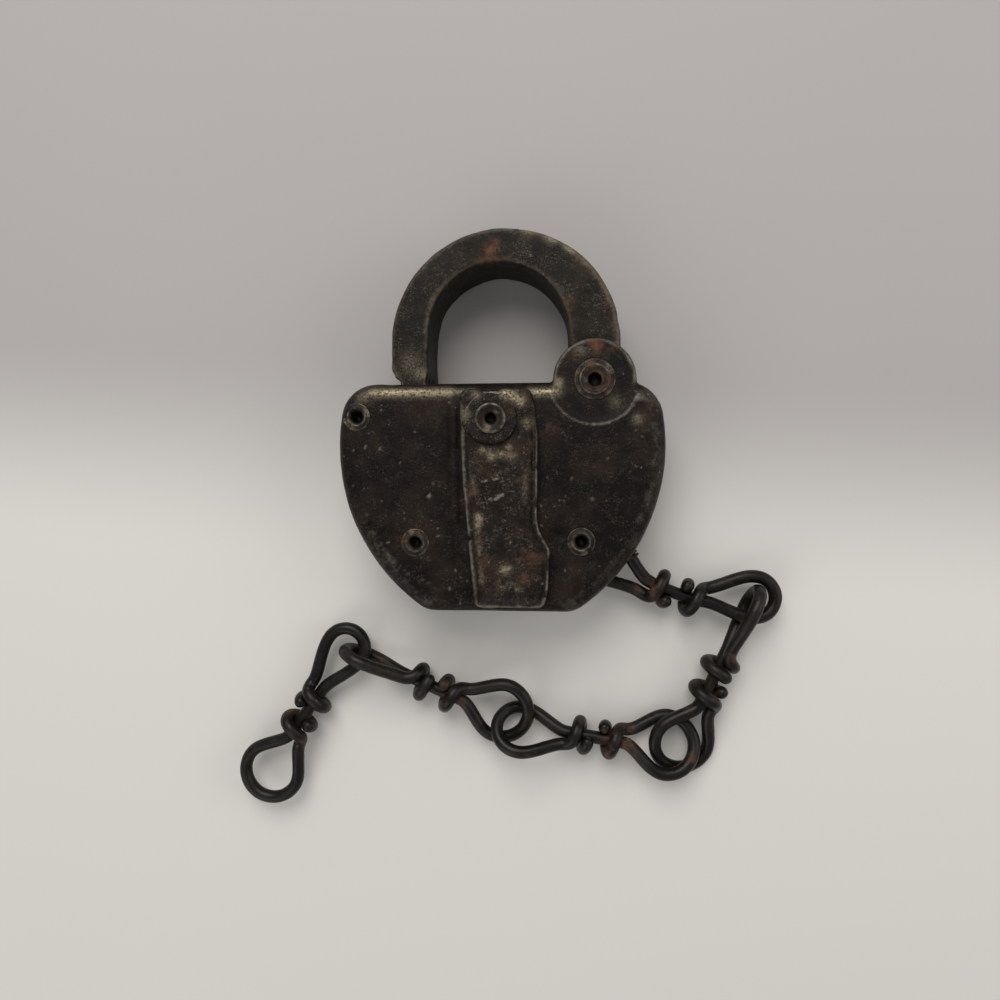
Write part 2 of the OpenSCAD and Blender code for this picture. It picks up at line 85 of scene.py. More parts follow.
def makeLamps(looks, sky):
    for look in looks:
        data = bpy.data.lights.new(look["name"], "AREA")
        data.shape = "DISK"
        data.size = look["size"]
        data.energy = look["watts"]
        lamp = bpy.data.objects.new(look["name"], data)
        scene.collection.objects.link(lamp)
        place = Vector(look["place"]) * mm
        lamp.location = place
        lamp.rotation_mode = "QUATERNION"
        lamp.rotation_quaternion = (-place).to_track_quat("-Z", "Y")
    world = bpy.data.worlds.new("sky")
    world.use_nodes = True
    background = world.node_tree.nodes["Background"]
    background.inputs["Color"].default_value = sky["colour"]
    background.inputs["Strength"].default_value = sky["strength"]
    scene.world = world
    scene.view_settings.view_transform = "Standard"


makeLamps(lampLooks, skyLook)

# node helpers


class Tree:
    def __init__(self, tree):
        self.tree = tree
        self.column = 0

    def fill(self, node, inputs):
        # a socket is linked, any other value is set
        for name, value in inputs.items():
            if isinstance(value, bpy.types.NodeSocket):
                self.tree.links.new(value, node.inputs[name])
            else:
                node.inputs[name].default_value = value
        return node

    def add(self, kind, inputs=None, **settings):
        node = self.tree.nodes.new(kind)
        node.location = (self.column * 180, 0)
        self.column += 1
        for name, value in settings.items():
            setattr(node, name, value)
        return self.fill(node, inputs or {})

    def calc(self, operation, *values):
        return self.add("ShaderNodeMath", dict(enumerate(values)), operation=operation).outputs[0]

    def times(self, first, second):
        return self.calc("MULTIPLY", first, second)

    def plus(self, first, second):
        return self.calc("ADD", first, second)

    def mix(self, amount, first, second):
        return self.add("ShaderNodeMix", {0: amount, 6: first, 7: second}, data_type="RGBA").outputs[2]

    def blend(self, amount, first, second):
        return self.add("ShaderNodeMix", {0: amount, 2: first, 3: second}, data_type="FLOAT").outputs[0]

    def ramp(self, value, low, high):
        span = {"Value": value, "From Min": low, "From Max": high}
        return self.add("ShaderNodeMapRange", span, interpolation_type="SMOOTHSTEP").outputs[0]

    def mark(self, name):
        # a mask stored on the mesh
        return self.add("ShaderNodeAttribute", attribute_name=name).outputs["Fac"]

    def place(self):
        return self.add("ShaderNodeTexCoord").outputs["Object"]

    def grain(self, scale, detail, rough, warp=0.0):
        return self.add("ShaderNodeTexNoise", {
            "Vector": self.place(), "Scale": scale, "Detail": detail, "Roughness": rough,
            "Distortion": warp}).outputs["Fac"]

    def group(self, tree, inputs):
        return self.add("ShaderNodeGroup", inputs, node_tree=tree).outputs


def newGroup(name, inputs, outputs):
    # a number as a default makes a value socket, a tuple makes a colour socket
    tree = bpy.data.node_groups.new(name, "ShaderNodeTree")
    for label, value in inputs.items():
        kind = "NodeSocketColor" if isinstance(value, tuple) else "NodeSocketFloat"
        tree.interface.new_socket(label, in_out="INPUT", socket_type=kind).default_value = value
    for label in outputs:
        kind = "NodeSocketColor" if label == "Color" else "NodeSocketFloat"
        tree.interface.new_socket(label, in_out="OUTPUT", socket_type=kind)
    work = Tree(tree)
    return work, work.add("NodeGroupInput").outputs, tree


def endGroup(work, values):
    work.add("NodeGroupOutput", values)


# patina: uneven dark oxide, from brown to black, with fine paler grit and soot in the hollows
black = (0, 0, 0, 1)
clusterTimes, sandSize, clustered, even, cloudy, sooty = 3.0, 3300, 0.88, 0.12, 0.85, 0.75
work, given, patina = newGroup(
    "patina", {"Dark": black, "Light": black, "Grit": black, "Size": 90, "Speckle": 0.5}, ["Color", "Cloud"])
cloud = work.grain(given["Size"], 5, 0.62, 0.4)
cluster = work.ramp(work.grain(work.times(given["Size"], clusterTimes), 4, 0.65, 0.3), 0.4, 0.66)
sandy = work.ramp(work.grain(sandSize, 4, 0.8), 0.51, 0.66)
sandy = work.times(sandy, work.plus(work.times(cluster, clustered), even))
soot = work.ramp(work.mark("hollow"), 0.12, 0.7)
colour = work.mix(work.times(work.ramp(cloud, 0.4, 0.7), cloudy), given["Dark"], given["Light"])
colour = work.mix(work.times(sandy, given["Speckle"]), colour, given["Grit"])
colour = work.mix(work.times(soot, sooty), colour, given["Dark"])
endGroup(work, {"Color": colour, "Cloud": cloud})

# edge wear and painted highlight: oxide rubbed off where the surface turns, and highlights painted on lit
# rims, rivet crests and the tops of the chain wires
brokenShare = 0.7
work, given, edgeWear = newGroup("edgeWear", {"Amount": 0.6, "Size": 1500}, ["Mask"])
broken = work.times(work.grain(given["Size"], 5, 0.75), brokenShare)
reach = work.plus(work.times(work.mark("edge"), given["Amount"]), broken)
endGroup(work, {"Mask": work.ramp(reach, 0.5, 1.15)})

# rustBloom: orange brown rust where it has been let in, and in the hollows
strayTimes, maskShare, patchShare = 0.22, 0.62, 0.7
rustDark, rustLight = (0.024, 0.0112, 0.0064, 1), (0.142, 0.066, 0.033, 1)
work, given, rustBloom = newGroup(
    "rustBloom", {"Amount": 0.5, "Size": 500, "In Hollows": 0.3}, ["Mask", "Color"])
patches = work.grain(given["Size"], 5, 0.68, 0.3)
stray = work.ramp(work.grain(work.times(given["Size"], strayTimes), 3, 0.6), 0.5, 0.8)
base = work.times(work.mark("rust"), maskShare)
base = work.plus(base, work.times(work.mark("hollow"), given["In Hollows"]))
base = work.plus(base, work.times(stray, given["Amount"]))
mask = work.ramp(work.plus(base, work.times(patches, patchShare)), 0.52, 1.16)
endGroup(work, {"Mask": mask, "Color": work.mix(work.ramp(patches, 0.35, 0.65), rustDark, rustLight)})

# flecks: small pale chips scattered over the face
raggedSize, raggedFar, zoneSize = 2600, 0.0011, 130
spreadShare, spreadLeast, fleckChance = 0.34, 0.08, 0.3
work, given, flecks = newGroup("flecks", {"Amount": 0.4, "Size": 900}, ["Mask"])
place = work.place()
ragged = work.add("ShaderNodeTexNoise", {"Vector": place, "Scale": raggedSize, "Detail": 2}).outputs["Color"]
ragged = work.add("ShaderNodeVectorMath", {0: ragged, "Scale": raggedFar}, operation="SCALE").outputs[0]
place = work.add("ShaderNodeVectorMath", {0: place, 1: ragged}, operation="ADD").outputs[0]
cells = work.add("ShaderNodeTexVoronoi", {"Vector": place, "Scale": given["Size"]})
chosen = work.add("ShaderNodeSeparateColor", {"Color": cells.outputs["Color"]})
spread = work.plus(work.times(chosen.outputs["Green"], spreadShare), spreadLeast)
near = work.calc("SUBTRACT", 1, work.ramp(cells.outputs["Distance"], 0, spread))
zone = work.ramp(work.grain(zoneSize, 2, 0.5), 0.4, 0.66)
limit = work.calc("SUBTRACT", 1, work.times(given["Amount"], fleckChance))
rare = work.calc("GREATER_THAN", chosen.outputs["Red"], limit)
endGroup(work, {"Mask": work.times(work.times(near, rare), zone)})

# pitting: height of the corroded skin
largeTimes, holeTimes, holeFloor = 0.24, 0.9, 0.4
work, given, pitting = newGroup("pitting", {"Fine": 0.4, "Coarse": 0.5, "Size": 1700}, ["Height"])
small = work.times(work.grain(given["Size"], 5, 0.7), given["Fine"])
large = work.times(work.grain(work.times(given["Size"], largeTimes), 4, 0.6), given["Coarse"])
holes = work.ramp(work.grain(work.times(given["Size"], holeTimes), 2, 0.4, 0.6), 0.2, 0.36)
endGroup(work, {"Height": work.times(work.plus(small, large), work.plus(holes, holeFloor))})

print("effects built")

# finishes of the steel pieces: dark, light and grit are the oxide, rub is the metal under it, also shown
# where a highlight is painted
finishNames = ("dark", "light", "grit", "rub", "size", "speckle", "edge", "rust", "rustSize", "hollows",
               "fleck", "rough", "metal", "gloss", "fine", "coarse", "bump")
finishes = {
    "caseSteel": (
        (0.0034, 0.0022, 0.0018), (0.0198, 0.0118, 0.0076), (0.096, 0.073, 0.054), (0.13, 0.116, 0.096),
        120, 0.64, 0.5, 0.18, 420, 0.2, 0.85, 0.45, 0.35, 0.16, 0.75, 0.6, 0.46),
    "shackleSteel": (
        (0.0066, 0.0051, 0.0035), (0.024, 0.0182, 0.012), (0.135, 0.108, 0.077), (0.17, 0.135, 0.1),
        120, 0.85, 0.52, 0.22, 520, 0.3, 0.55, 0.52, 0.35, 0.18, 0.8, 0.7, 0.5),
    "coverSteel": (
        (0.004, 0.0024, 0.0017), (0.0235, 0.0136, 0.0076), (0.17, 0.128, 0.088), (0.21, 0.188, 0.15),
        190, 0.85, 0.66, 0.3, 480, 0.25, 0.6, 0.45, 0.38, 0.2, 0.85, 0.7, 0.55),
    "rivetSteel": (
        (0.0076, 0.0055, 0.0041), (0.026, 0.019, 0.0135), (0.075, 0.062, 0.047), (0.16, 0.14, 0.11),
        260, 0.6, 0.6, 0.3, 700, 0.35, 0.3, 0.47, 0.38, 0.2, 0.6, 0.5, 0.34),
    "chainWire": (
        (0.0064, 0.005, 0.0042), (0.019, 0.0146, 0.0112), (0.055, 0.045, 0.034), (0.085, 0.074, 0.06),
        170, 0.5, 0.62, 0.2, 420, 0.35, 0.15, 0.36, 0.35, 0.3, 0.4, 0.45, 0.24),
    "tieRust": (
        (0.025, 0.012, 0.0075), (0.075, 0.034, 0.018), (0.12, 0.07, 0.042), (0.14, 0.085, 0.055),
        500, 0.6, 0.3, 0.9, 900, 0.5, 0, 0.75, 0.15, 0.2, 0.8, 0.5, 0.4),
    "lockSteel": (
        (0.06, 0.053, 0.046), (0.17, 0.152, 0.13), (0.28, 0.26, 0.23), (0.38, 0.36, 0.32),
        140, 0.5, 0.5, 0.3, 500, 0.3, 0.1, 0.35, 0.9, 0.4, 0.4, 0.4, 0.15),
    "springSteel": (
        (0.045, 0.05, 0.068), (0.125, 0.125, 0.145), (0.24, 0.24, 0.25), (0.35, 0.35, 0.36),
        200, 0.4, 0.4, 0.25, 600, 0.3, 0.1, 0.3, 0.9, 0.4, 0.3, 0.3, 0.1),
}
giltAndHighlight = (0.47, 0.385, 0.25, 1)  # a warm gold brown, where the black has worn, and as painted highlight along the case's rounded top edge
chipped = (0.15, 0.131, 0.106, 1)  # where a chip has come off

# what rubbing and rust do to each of them
agedLook = {"giltAndHighlightSize": 2300, "rustShare": 0.85, "smoother": 0.07, "rougher": 0.1, "rubSmoother": 0.1,
            "rustRough": 0.82, "rubMetal": 0.9, "rustMetal": 0.1, "rustRise": 0.25, "bumpDepth": 0.00025}


def opaque(colour):
    return (*colour, 1)


def agedSteel(name, look, aged):
    material = bpy.data.materials.new(name)
    material.use_nodes = True
    work = Tree(material.node_tree)
    skin = work.group(patina, {
        "Dark": opaque(look["dark"]), "Light": opaque(look["light"]), "Grit": opaque(look["grit"]),
        "Size": look["size"], "Speckle": look["speckle"]})
    worn = work.group(edgeWear, {"Amount": look["edge"]})["Mask"]
    bloom = work.group(rustBloom, {
        "Amount": look["rust"], "Size": look["rustSize"], "In Hollows": look["hollows"]})
    rust = bloom["Mask"]
    chips = work.group(flecks, {"Amount": look["fleck"]})["Mask"]
    # the gold mask is worn metal and also a painted highlight where light catches edges
    goldenAndHighlight = work.times(work.mark("giltAndHighlight"), work.ramp(work.grain(aged["giltAndHighlightSize"], 4, 0.75), 0.34, 0.58))
    colour = work.mix(worn, skin["Color"], opaque(look["rub"]))
    colour = work.mix(goldenAndHighlight, colour, giltAndHighlight)
    colour = work.mix(work.times(rust, aged["rustShare"]), colour, bloom["Color"])
    colour = work.mix(work.calc("MAXIMUM", chips, work.mark("chip")), colour, chipped)
    rough = look["rough"]
    satin = work.blend(work.ramp(skin["Cloud"], 0.3, 0.7), rough - aged["smoother"], rough + aged["rougher"])
    satin = work.blend(worn, satin, rough - aged["rubSmoother"])
    satin = work.blend(rust, satin, aged["rustRough"])
    metal = work.blend(work.calc("MAXIMUM", worn, goldenAndHighlight), look["metal"], aged["rubMetal"])
    metal = work.blend(rust, metal, aged["rustMetal"])
    height = work.group(pitting, {"Fine": look["fine"], "Coarse": look["coarse"]})["Height"]
    height = work.plus(height, work.times(rust, aged["rustRise"]))
    bump = work.add("ShaderNodeBump", {
        "Strength": look["bump"], "Distance": aged["bumpDepth"], "Height": height})
    work.fill(material.node_tree.nodes["Principled BSDF"], {
        "Base Color": colour, "Roughness": satin, "Metallic": metal, "Normal": bump.outputs["Normal"],
        "Specular IOR Level": look["gloss"]})
    return material


finish = {name: agedSteel(name, dict(zip(finishNames, row)), agedLook) for name, row in finishes.items()}
print("finishes built:", len(finish))

# mesh helpers; all lengths are millimetres until the mesh is made
straightUp = np.array([0.0, 0.0, 1.0])
smoothStride, seedShift = 0.55, 17.31
hashSteps, hashTimes = np.array([73856093, 19349663, 83492791]), 1274126177


def softNoise(points, size, seed):
    # smooth value noise from -1 to 1 at each point
    q = points / size + seed * seedShift
    cell = np.floor(q).astype(np.int64)
    t = q - cell
    t = t * t * (3 - 2 * t)
    total = np.zeros(len(points))
    for corner in range(8):
        step = np.array([corner & 1, corner >> 1 & 1, corner >> 2 & 1])
        key = (cell + step) @ hashSteps
        key = (key ^ (key >> 13)) * hashTimes & 0x7FFFFFFF
        value = (key ^ (key >> 15)) % 65536 / 32767.5 - 1
        total += value * np.prod(np.where(step, t, 1 - t), axis=1)
    return total


def lengths(ways):
    return np.linalg.norm(ways, axis=1)


def smoothStep(value, low, high):
    t = np.clip((value - low) / (high - low), 0, 1)
    return t * t * (3 - 2 * t)


def patchy(points, size, seed, low, high):
    # an uneven mask from 0 to 1
    return smoothStep(softNoise(points, size, seed), low, high)


def hump(away, wide):
    # 1 where away is 0, fading out past wide
    return np.exp(-(away / wide) ** 2)


class Skin:
    # points and faces of a piece, with what is needed to smooth and measure them

    def __init__(self, points, faces):
        self.points = points
        self.faces = faces
        pairs = np.concatenate([np.stack([faces[:, i], faces[:, (i + 1) % faces.shape[1]]], 1)
                                for i in range(faces.shape[1])])
        self.edges = np.unique(np.sort(pairs, axis=1), axis=0)
        both = np.concatenate([self.edges, self.edges[:, ::-1]])
        self.start, self.end = both[:, 0], both[:, 1]
        self.count = np.maximum(np.bincount(self.start, minlength=len(points)), 1)

    def around(self, values):
        if values.ndim == 1:
            return np.bincount(self.start, values[self.end], len(self.points)) / self.count
        return np.stack([self.around(values[:, i]) for i in range(values.shape[1])], 1)

    def smooth(self, rounds, share=1.0):
        for _ in range(rounds):
            self.points = self.points + (self.around(self.points) - self.points) * smoothStride * share

    def normals(self):
        p = self.points[self.faces]
        cross = np.cross(p[:, 2] - p[:, 0], p[:, -1] - p[:, 1])
        total = np.zeros_like(self.points)
        for i in range(self.faces.shape[1]):
            for k in range(3):
                total[:, k] += np.bincount(self.faces[:, i], cross[:, k], len(self.points))
        return total / np.maximum(lengths(total), 1e-9)[:, None]

    def bend(self):
        # curvature in 1/mm, positive on outer edges
        step = self.around(self.points) - self.points
        size = lengths(self.points[self.edges[:, 0]] - self.points[self.edges[:, 1]]).mean()
        value = -4 * (step * self.normals()).sum(1) / size ** 2
        for _ in range(3):
            value = value * 0.4 + self.around(value) * 0.6
        return value

    def push(self, amount, way=None):
        way = self.normals() if way is None else way
        self.points = self.points + way * amount[:, None]


def addPiece(name, points, faces, marks, material, body, slotName, *replaced):
    mesh = bpy.data.meshes.new(name)
    mesh.from_pydata((points * mm).tolist(), [], faces if isinstance(faces, list) else faces.tolist())
    mesh.update()
    for label, values in marks.items():
        mesh.attributes.new(label, "FLOAT", "POINT").data.foreach_set("value", values.astype(np.float32))
    mesh.polygons.foreach_set("use_smooth", [True] * len(mesh.polygons))
    mesh.materials.append(finish[material])
    piece = bpy.data.objects.new(name, mesh)
    scene.collection.objects.link(piece)
    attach(piece, body)
    if replaced:
        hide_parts(*replaced)
    print(name, len(faces), "faces")


def denseCopy(nodeName, voxel, rounds):
    # an even, softened skin over the node's exact shape
    mesh = nodes[nodeName].data.copy()
    mesh.transform(Matrix.Scale(1 / mm, 4))
    source = bpy.data.objects.new("source", mesh)
    scene.collection.objects.link(source)
    remesh = source.modifiers.new("remesh", "REMESH")
    remesh.mode = "VOXEL"
    remesh.voxel_size = voxel
    remesh.adaptivity = 0
    result = source.evaluated_get(bpy.context.evaluated_depsgraph_get()).to_mesh()
    points = np.zeros(len(result.vertices) * 3)
    result.vertices.foreach_get("co", points)
    corners = np.zeros(len(result.loops), np.int64)
    result.loops.foreach_get("vertex_index", corners)
    faces = corners.reshape(-1, 4)
    bpy.data.objects.remove(source)
    skin = Skin(points.reshape(-1, 3), faces)
    skin.smooth(rounds)
    return skin


def gather(points, spots):
    # soft patches: each spot is x, y, z, radius, strength
    total = np.zeros(len(points))
    for x, y, z, radius, strength in spots:
        total += strength * hump(lengths(points - (x, y, z)), radius)
    return np.clip(total, 0, 1)


def gatherLine(points, line, radius, strength):
    # a soft band along a line of points
    nearest = np.full(len(points), 1e9)
    for a, b in zip(line[:-1], line[1:]):
        a, b = np.array(a, float), np.array(b, float)
        t = np.clip((points - a) @ (b - a) / ((b - a) @ (b - a)), 0, 1)
        nearest = np.minimum(nearest, lengths(points - a - t[:, None] * (b - a)))
    return strength * hump(nearest, radius)


def arcLine(at, radius, low, high, count, z):
    turns = np.radians(np.linspace(low, high, count))
    return [(at[0] + radius * math.cos(a), at[1] + radius * math.sin(a), z) for a in turns]


def dents(points, spots):
    # depth of soft round dents: each spot is x, y, radius, depth
    total = np.zeros(len(points))
    for x, y, radius, deep in spots:
        total += deep * np.exp(-((points[:, 0] - x) ** 2 + (points[:, 1] - y) ** 2) / (radius * 0.7) ** 2)
    return total


def edgeMarks(skin, sharp):
    bend = skin.bend()
    return {"edge": np.clip(bend / sharp, 0, 1), "hollow": np.clip(-bend / sharp, 0, 1)}


def addSpots(marks, points, look):
    for mask in ("rust", "giltAndHighlight"):
        marks[mask] = gather(points, look[mask])


def addGiltAndHighlightLines(marks, points, lines, share=1.0):
    # each line is x, y to x, y at z, then its width and strength
    for x, y, endX, endY, z, wide, strength in lines:
        streak = gatherLine(points, [(x, y, z), (endX, endY, z)], wide, strength) * share
        marks["giltAndHighlight"] = np.maximum(marks["giltAndHighlight"], streak)


# case halves: pressed sheet with worn edges, painted highlights along its top edge and its right and lower
# rim, dings and a few small struck marks
caseLook = {
    "voxel": 0.36, "rounds": 4, "sharp": 0.75, "wave": 0.045, "hammer": 0.022, "inset": 0.027,
    "top": 19, "trueBelow": 1.2,
    "dings": [(11.7, -7.4, 1.3, 0.3), (-13.4, 0.4, 0.9, 0.2), (24.5, -2.5, 0.7, 0.1), (-20.5, 4, 0.8, 0.1),
              (20.3, 3.4, 0.6, 0.12), (-8.5, -13, 0.9, 0.1)],
    "ring": (17.8, -0.6, 0.85, 0.28, 0.14), "ribZone": (-11.2, -7.4, -5, 19), "ribEdge": 0.45,
    "groove": {"wide": 0.85, "deep": 0.16, "shine": 8, "edge": 0.55, "line": [
        (-25.8, -3.4), (-23.9, -7.6), (-21.4, -11.4), (-18.2, -14.4), (-13.5, -17), (-8, -18.6)]},
    "chips": [(-13.4, 0.2, 0.42, 0.9), (-26, 9.8, 0.3, 0.7), (-23.3, 9.4, 0.24, 0.6),
              (-19.2, 6.6, 0.22, 0.5), (-25.4, 12.6, 0.2, 0.6), (17.8, -0.5, 0.4, 0.45),
              (20.6, 7.2, 0.26, 0.5), (-9.6, -17.6, 0.34, 0.6), (26, 15.2, 0.24, 0.5), (14, 3.6, 0.22, 0.4),
              (-21.6, -8.8, 0.24, 0.6), (23.2, -8, 0.2, 0.4)],
    # these lines run along the rounded top front edge and paint the highlight the light makes there
    "giltAndHighlightLines": [(-22.5, 20.5, -14.5, 20.6, 18.8, 0.42, 0.95), (-25, 20.4, -9.5, 20.4, 18.8, 0.95, 0.55),
                  (-27, 19.6, -24, 20.4, 18.8, 1, 0.25), (-10, 20.5, -5, 20.5, 18.8, 0.6, 0.35),
                  (7, 20.3, 10.6, 20.4, 18.9, 0.5, 0.85), (6.4, 20.2, 11.2, 20.3, 18.9, 1, 0.45)],
    "giltAndHighlight": [(11.3, 21.8, 18.4, 0.9, 0.6), (15.6, 28, 18.6, 1.1, 0.22), (22.4, 18.2, 18.8, 1.4, 0.16),
             (26.3, 14.8, 18.9, 1, 0.3), (-26.5, 19.6, 18.6, 1.6, 0.2)],
    "arc": {"at": (18.3, 22.5), "radius": 8.75, "low": 200, "high": 322, "count": 30, "wide": 0.25,
            "strength": 0.62},
    "rust": [(11.2, 21.4, 18.2, 1.6, 0.55), (14, 27, 18.4, 1.6, 0.35), (18.6, 29.6, 18.4, 2.2, 0.75),
             (22, 28.6, 18.4, 1.8, 0.5), (-15.9, -9, 18.8, 3.4, 0.45), (18.3, 22.5, 18.4, 4.8, 0.42),
             (10.5, 14, 19, 4.5, 0.3), (14, 7, 19, 5, 0.24), (24, 8, 19, 5, 0.22), (-20, 7, 19, 5, 0.24),
             (-14, -3, 19, 5, 0.22), (-20, -9, 19, 4, 0.24), (21, -4, 19, 5, 0.2), (6, 17, 19, 2, 0.3),
             (-28, 12, 18, 3, 0.2), (4, 17.5, 18.8, 2.5, 0.3), (31, -2, 12, 3, 0.5),
             (-30, -6, 10, 3.5, 0.5), (0, -22, 10, 4, 0.5), (12, -21, 3, 4, 0.6), (-20, 5, 0, 9, 0.45),
             (8, -8, 0, 7, 0.5), (18, 20, 0, 6, 0.5)],
    "rim": {"right": (20, 28), "low": (0, 12), "lowShare": 0.8, "height": (15, 17), "rimLightGain": 0.85}}


def struckFace(skin, look):
    # dings, the small ring mark, a worn groove and chips, on the front face alone
    p = skin.points
    face = smoothStep(skin.normals()[:, 2], 0.8, 0.97) * (p[:, 2] > look["top"] - 0.8)
    x, y, radius, wide, deep = look["ring"]
    depth = dents(p, look["dings"]) + deep * hump(np.hypot(p[:, 0] - x, p[:, 1] - y) - radius, wide)
    groove = look["groove"]
    line = [(x, y, look["top"]) for x, y in groove["line"]]
    broken = patchy(p, 1.3, 5, -0.5, 0.5) * patchy(p, 0.55, 19, -0.8, 0.5)
    cut = gatherLine(p, line, groove["wide"], groove["deep"]) * broken
    skin.push(-(depth + cut) * face, straightUp)
    ragged = 0.5 * softNoise(p, 0.35, 15)
    chips = np.zeros(len(p))
    for x, y, radius, strength in look["chips"]:
        away = np.hypot(p[:, 0] - x, p[:, 1] - y) / radius + ragged
        chips += strength * smoothStep(-away, -1.25, -0.6)
    return cut * groove["shine"] * face, np.clip(chips, 0, 1) * face


def wornFront(skin, marks, look):
    # a dull rib, a painted highlight on the lower arc of the ring under the ear, and a painted rim highlight,
    # brightest at the right and below
    p = skin.points
    x, y = p[:, 0], p[:, 1]
    left, right, low, high = look["ribZone"]
    onRib = (x > left) & (x < right) & (y > low) & (y < high)
    marks["edge"] *= np.where(onRib, look["ribEdge"], 1.0)
    arc, rim = look["arc"], look["rim"]
    # painted highlight on the lower wall of the ear's ring, the side that faces the light
    line = arcLine(arc["at"], arc["radius"], arc["low"], arc["high"], arc["count"], look["top"])
    paintedRingHighlight = gatherLine(p, line, arc["wide"], arc["strength"])
    cut, marks["chip"] = struckFace(skin, look)
    p = skin.points
    # painted highlight: the rim edge is lightened towards the right and the bottom
    paintedRimLight = smoothStep(x, *rim["right"]) + rim["lowShare"] * smoothStep(-y, *rim["low"])
    ragged = patchy(p, 1.6, 18, -1.0, 0.5)
    edge = marks["edge"] * (1 + rim["rimLightGain"] * paintedRimLight * ragged * smoothStep(p[:, 2], *rim["height"]))
    marks["edge"] = np.clip(edge + look["groove"]["edge"] * cut + paintedRingHighlight, 0, np.maximum(edge, 1))


def makeCase(look):
    for nodeName, pieceName, seed in (("front_case", "frontShell", 1), ("back_case", "backShell", 2)):
        skin = denseCopy(nodeName, look["voxel"], look["rounds"])
        p = skin.points
        skin.push(look["wave"] * softNoise(p, 9.0, seed) * (p[:, 2] > look["trueBelow"])
                  + look["hammer"] * softNoise(p, 1.6, seed + 3) - look["inset"])
        marks = edgeMarks(skin, look["sharp"])
        if nodeName == "front_case":
            wornFront(skin, marks, look)
        addSpots(marks, skin.points, look)
        addGiltAndHighlightLines(marks, skin.points, look["giltAndHighlightLines"])
        addPiece(pieceName, skin.points, skin.faces, marks, "caseSteel", "case", "case_steel", nodeName)


makeCase(caseLook)

# shackle: forged bar, softened all over, rust at its crown and down its right side
shackleLook = {
    "voxel": 0.4, "early": 2, "rounds": 14, "sharp": 0.8, "wave": 0.16, "hammer": 0.045,
    "shrink": 0.08, "free": (23, 27),
    "notches": [(22.9, 34, 14, 1.2, 0.5), (22.6, 31.5, 12, 1, 0.35), (-13.9, 23, 15.4, 1.3, 0.9),
                (-13.9, 23, 12.6, 1.3, 0.8), (-13.9, 23, 9.8, 1.3, 0.6)],
    "rust": [(-1.5, 47.2, 16.2, 3.2, 0.8), (-1, 49.4, 16.2, 1.8, 0.4), (-3.5, 45.6, 15.6, 1.6, 0.5),
             (14.5, 48.5, 15, 3, 0.5), (20, 43.5, 15, 2.8, 0.9), (22.2, 39, 14.5, 2.8, 1),
             (22.5, 34.5, 14, 2.8, 0.95), (22, 30, 14.5, 2, 0.7), (17, 46.5, 15, 2.2, 0.7),
             (13.6, 38, 15.8, 2, 0.6), (14.2, 34, 15.8, 1.8, 0.5), (-20, 26, 14, 2, 0.3),
             (-12, 50, 8, 4, 0.4), (10, 50, 6, 4, 0.5), (0, 46, 6, 3, 0.5), (22, 36, 6, 4, 0.6),
             (-16, 36, 2.3, 5, 0.45), (8, 49, 2.3, 5, 0.5)],
    "giltAndHighlight": [(-18, 26.8, 16.2, 2, 0.14), (-15.8, 24.2, 16.2, 1.2, 0.3), (17.2, 46.3, 15.4, 1.1, 0.6),
             (14, 48.8, 15.6, 1.2, 0.6), (10, 50.9, 15.4, 1.3, 0.5), (5.5, 52.4, 15.2, 1.4, 0.4),
             (21.2, 40.6, 15.4, 1.1, 0.4)],
    "rims": [(13.9, 150, 196, 0.62), (22.3, 36, 104, 0.68), (22.5, -8, 42, 0.74)],
    "rim": {"at": (0, 30.9), "top": 15.6, "wide": 0.8, "count": 24}}


def makeShackle(look):
    skin = denseCopy("shackle", look["voxel"], look["early"])
    free = smoothStep(skin.points[:, 1], *look["free"])  # the hidden toe and eye keep their true size
    skin.smooth(look["rounds"], free[:, None])
    p = skin.points
    uneven = look["wave"] * softNoise(p, 6.0, 4) + look["hammer"] * softNoise(p, 1.5, 6)
    skin.push((uneven - look["shrink"]) * free)
    for x, y, z, radius, deep in look["notches"]:
        skin.push(-deep * np.exp(-(((skin.points - (x, y, z)) / radius) ** 2).sum(1)))
    p, rim = skin.points, look["rim"]
    marks = edgeMarks(skin, look["sharp"])
    addSpots(marks, p, look)
    # rubbed lines along the bar's edges: pale worn metal that also serves as a painted highlight
    ragged = patchy(p, 1.2, 17, -0.8, 0.6)
    for radius, low, high, strength in look["rims"]:
        line = arcLine(rim["at"], radius, low, high, rim["count"], rim["top"])
        rubbed = gatherLine(p, line, rim["wide"], strength) * ragged
        marks["edge"] = np.clip(marks["edge"] + rubbed, 0, 1)
    addPiece("forgedShackle", p, skin.faces, marks, "shackleSteel", "shackle", "shackle_steel", "shackle")


makeShackle(shackleLook)
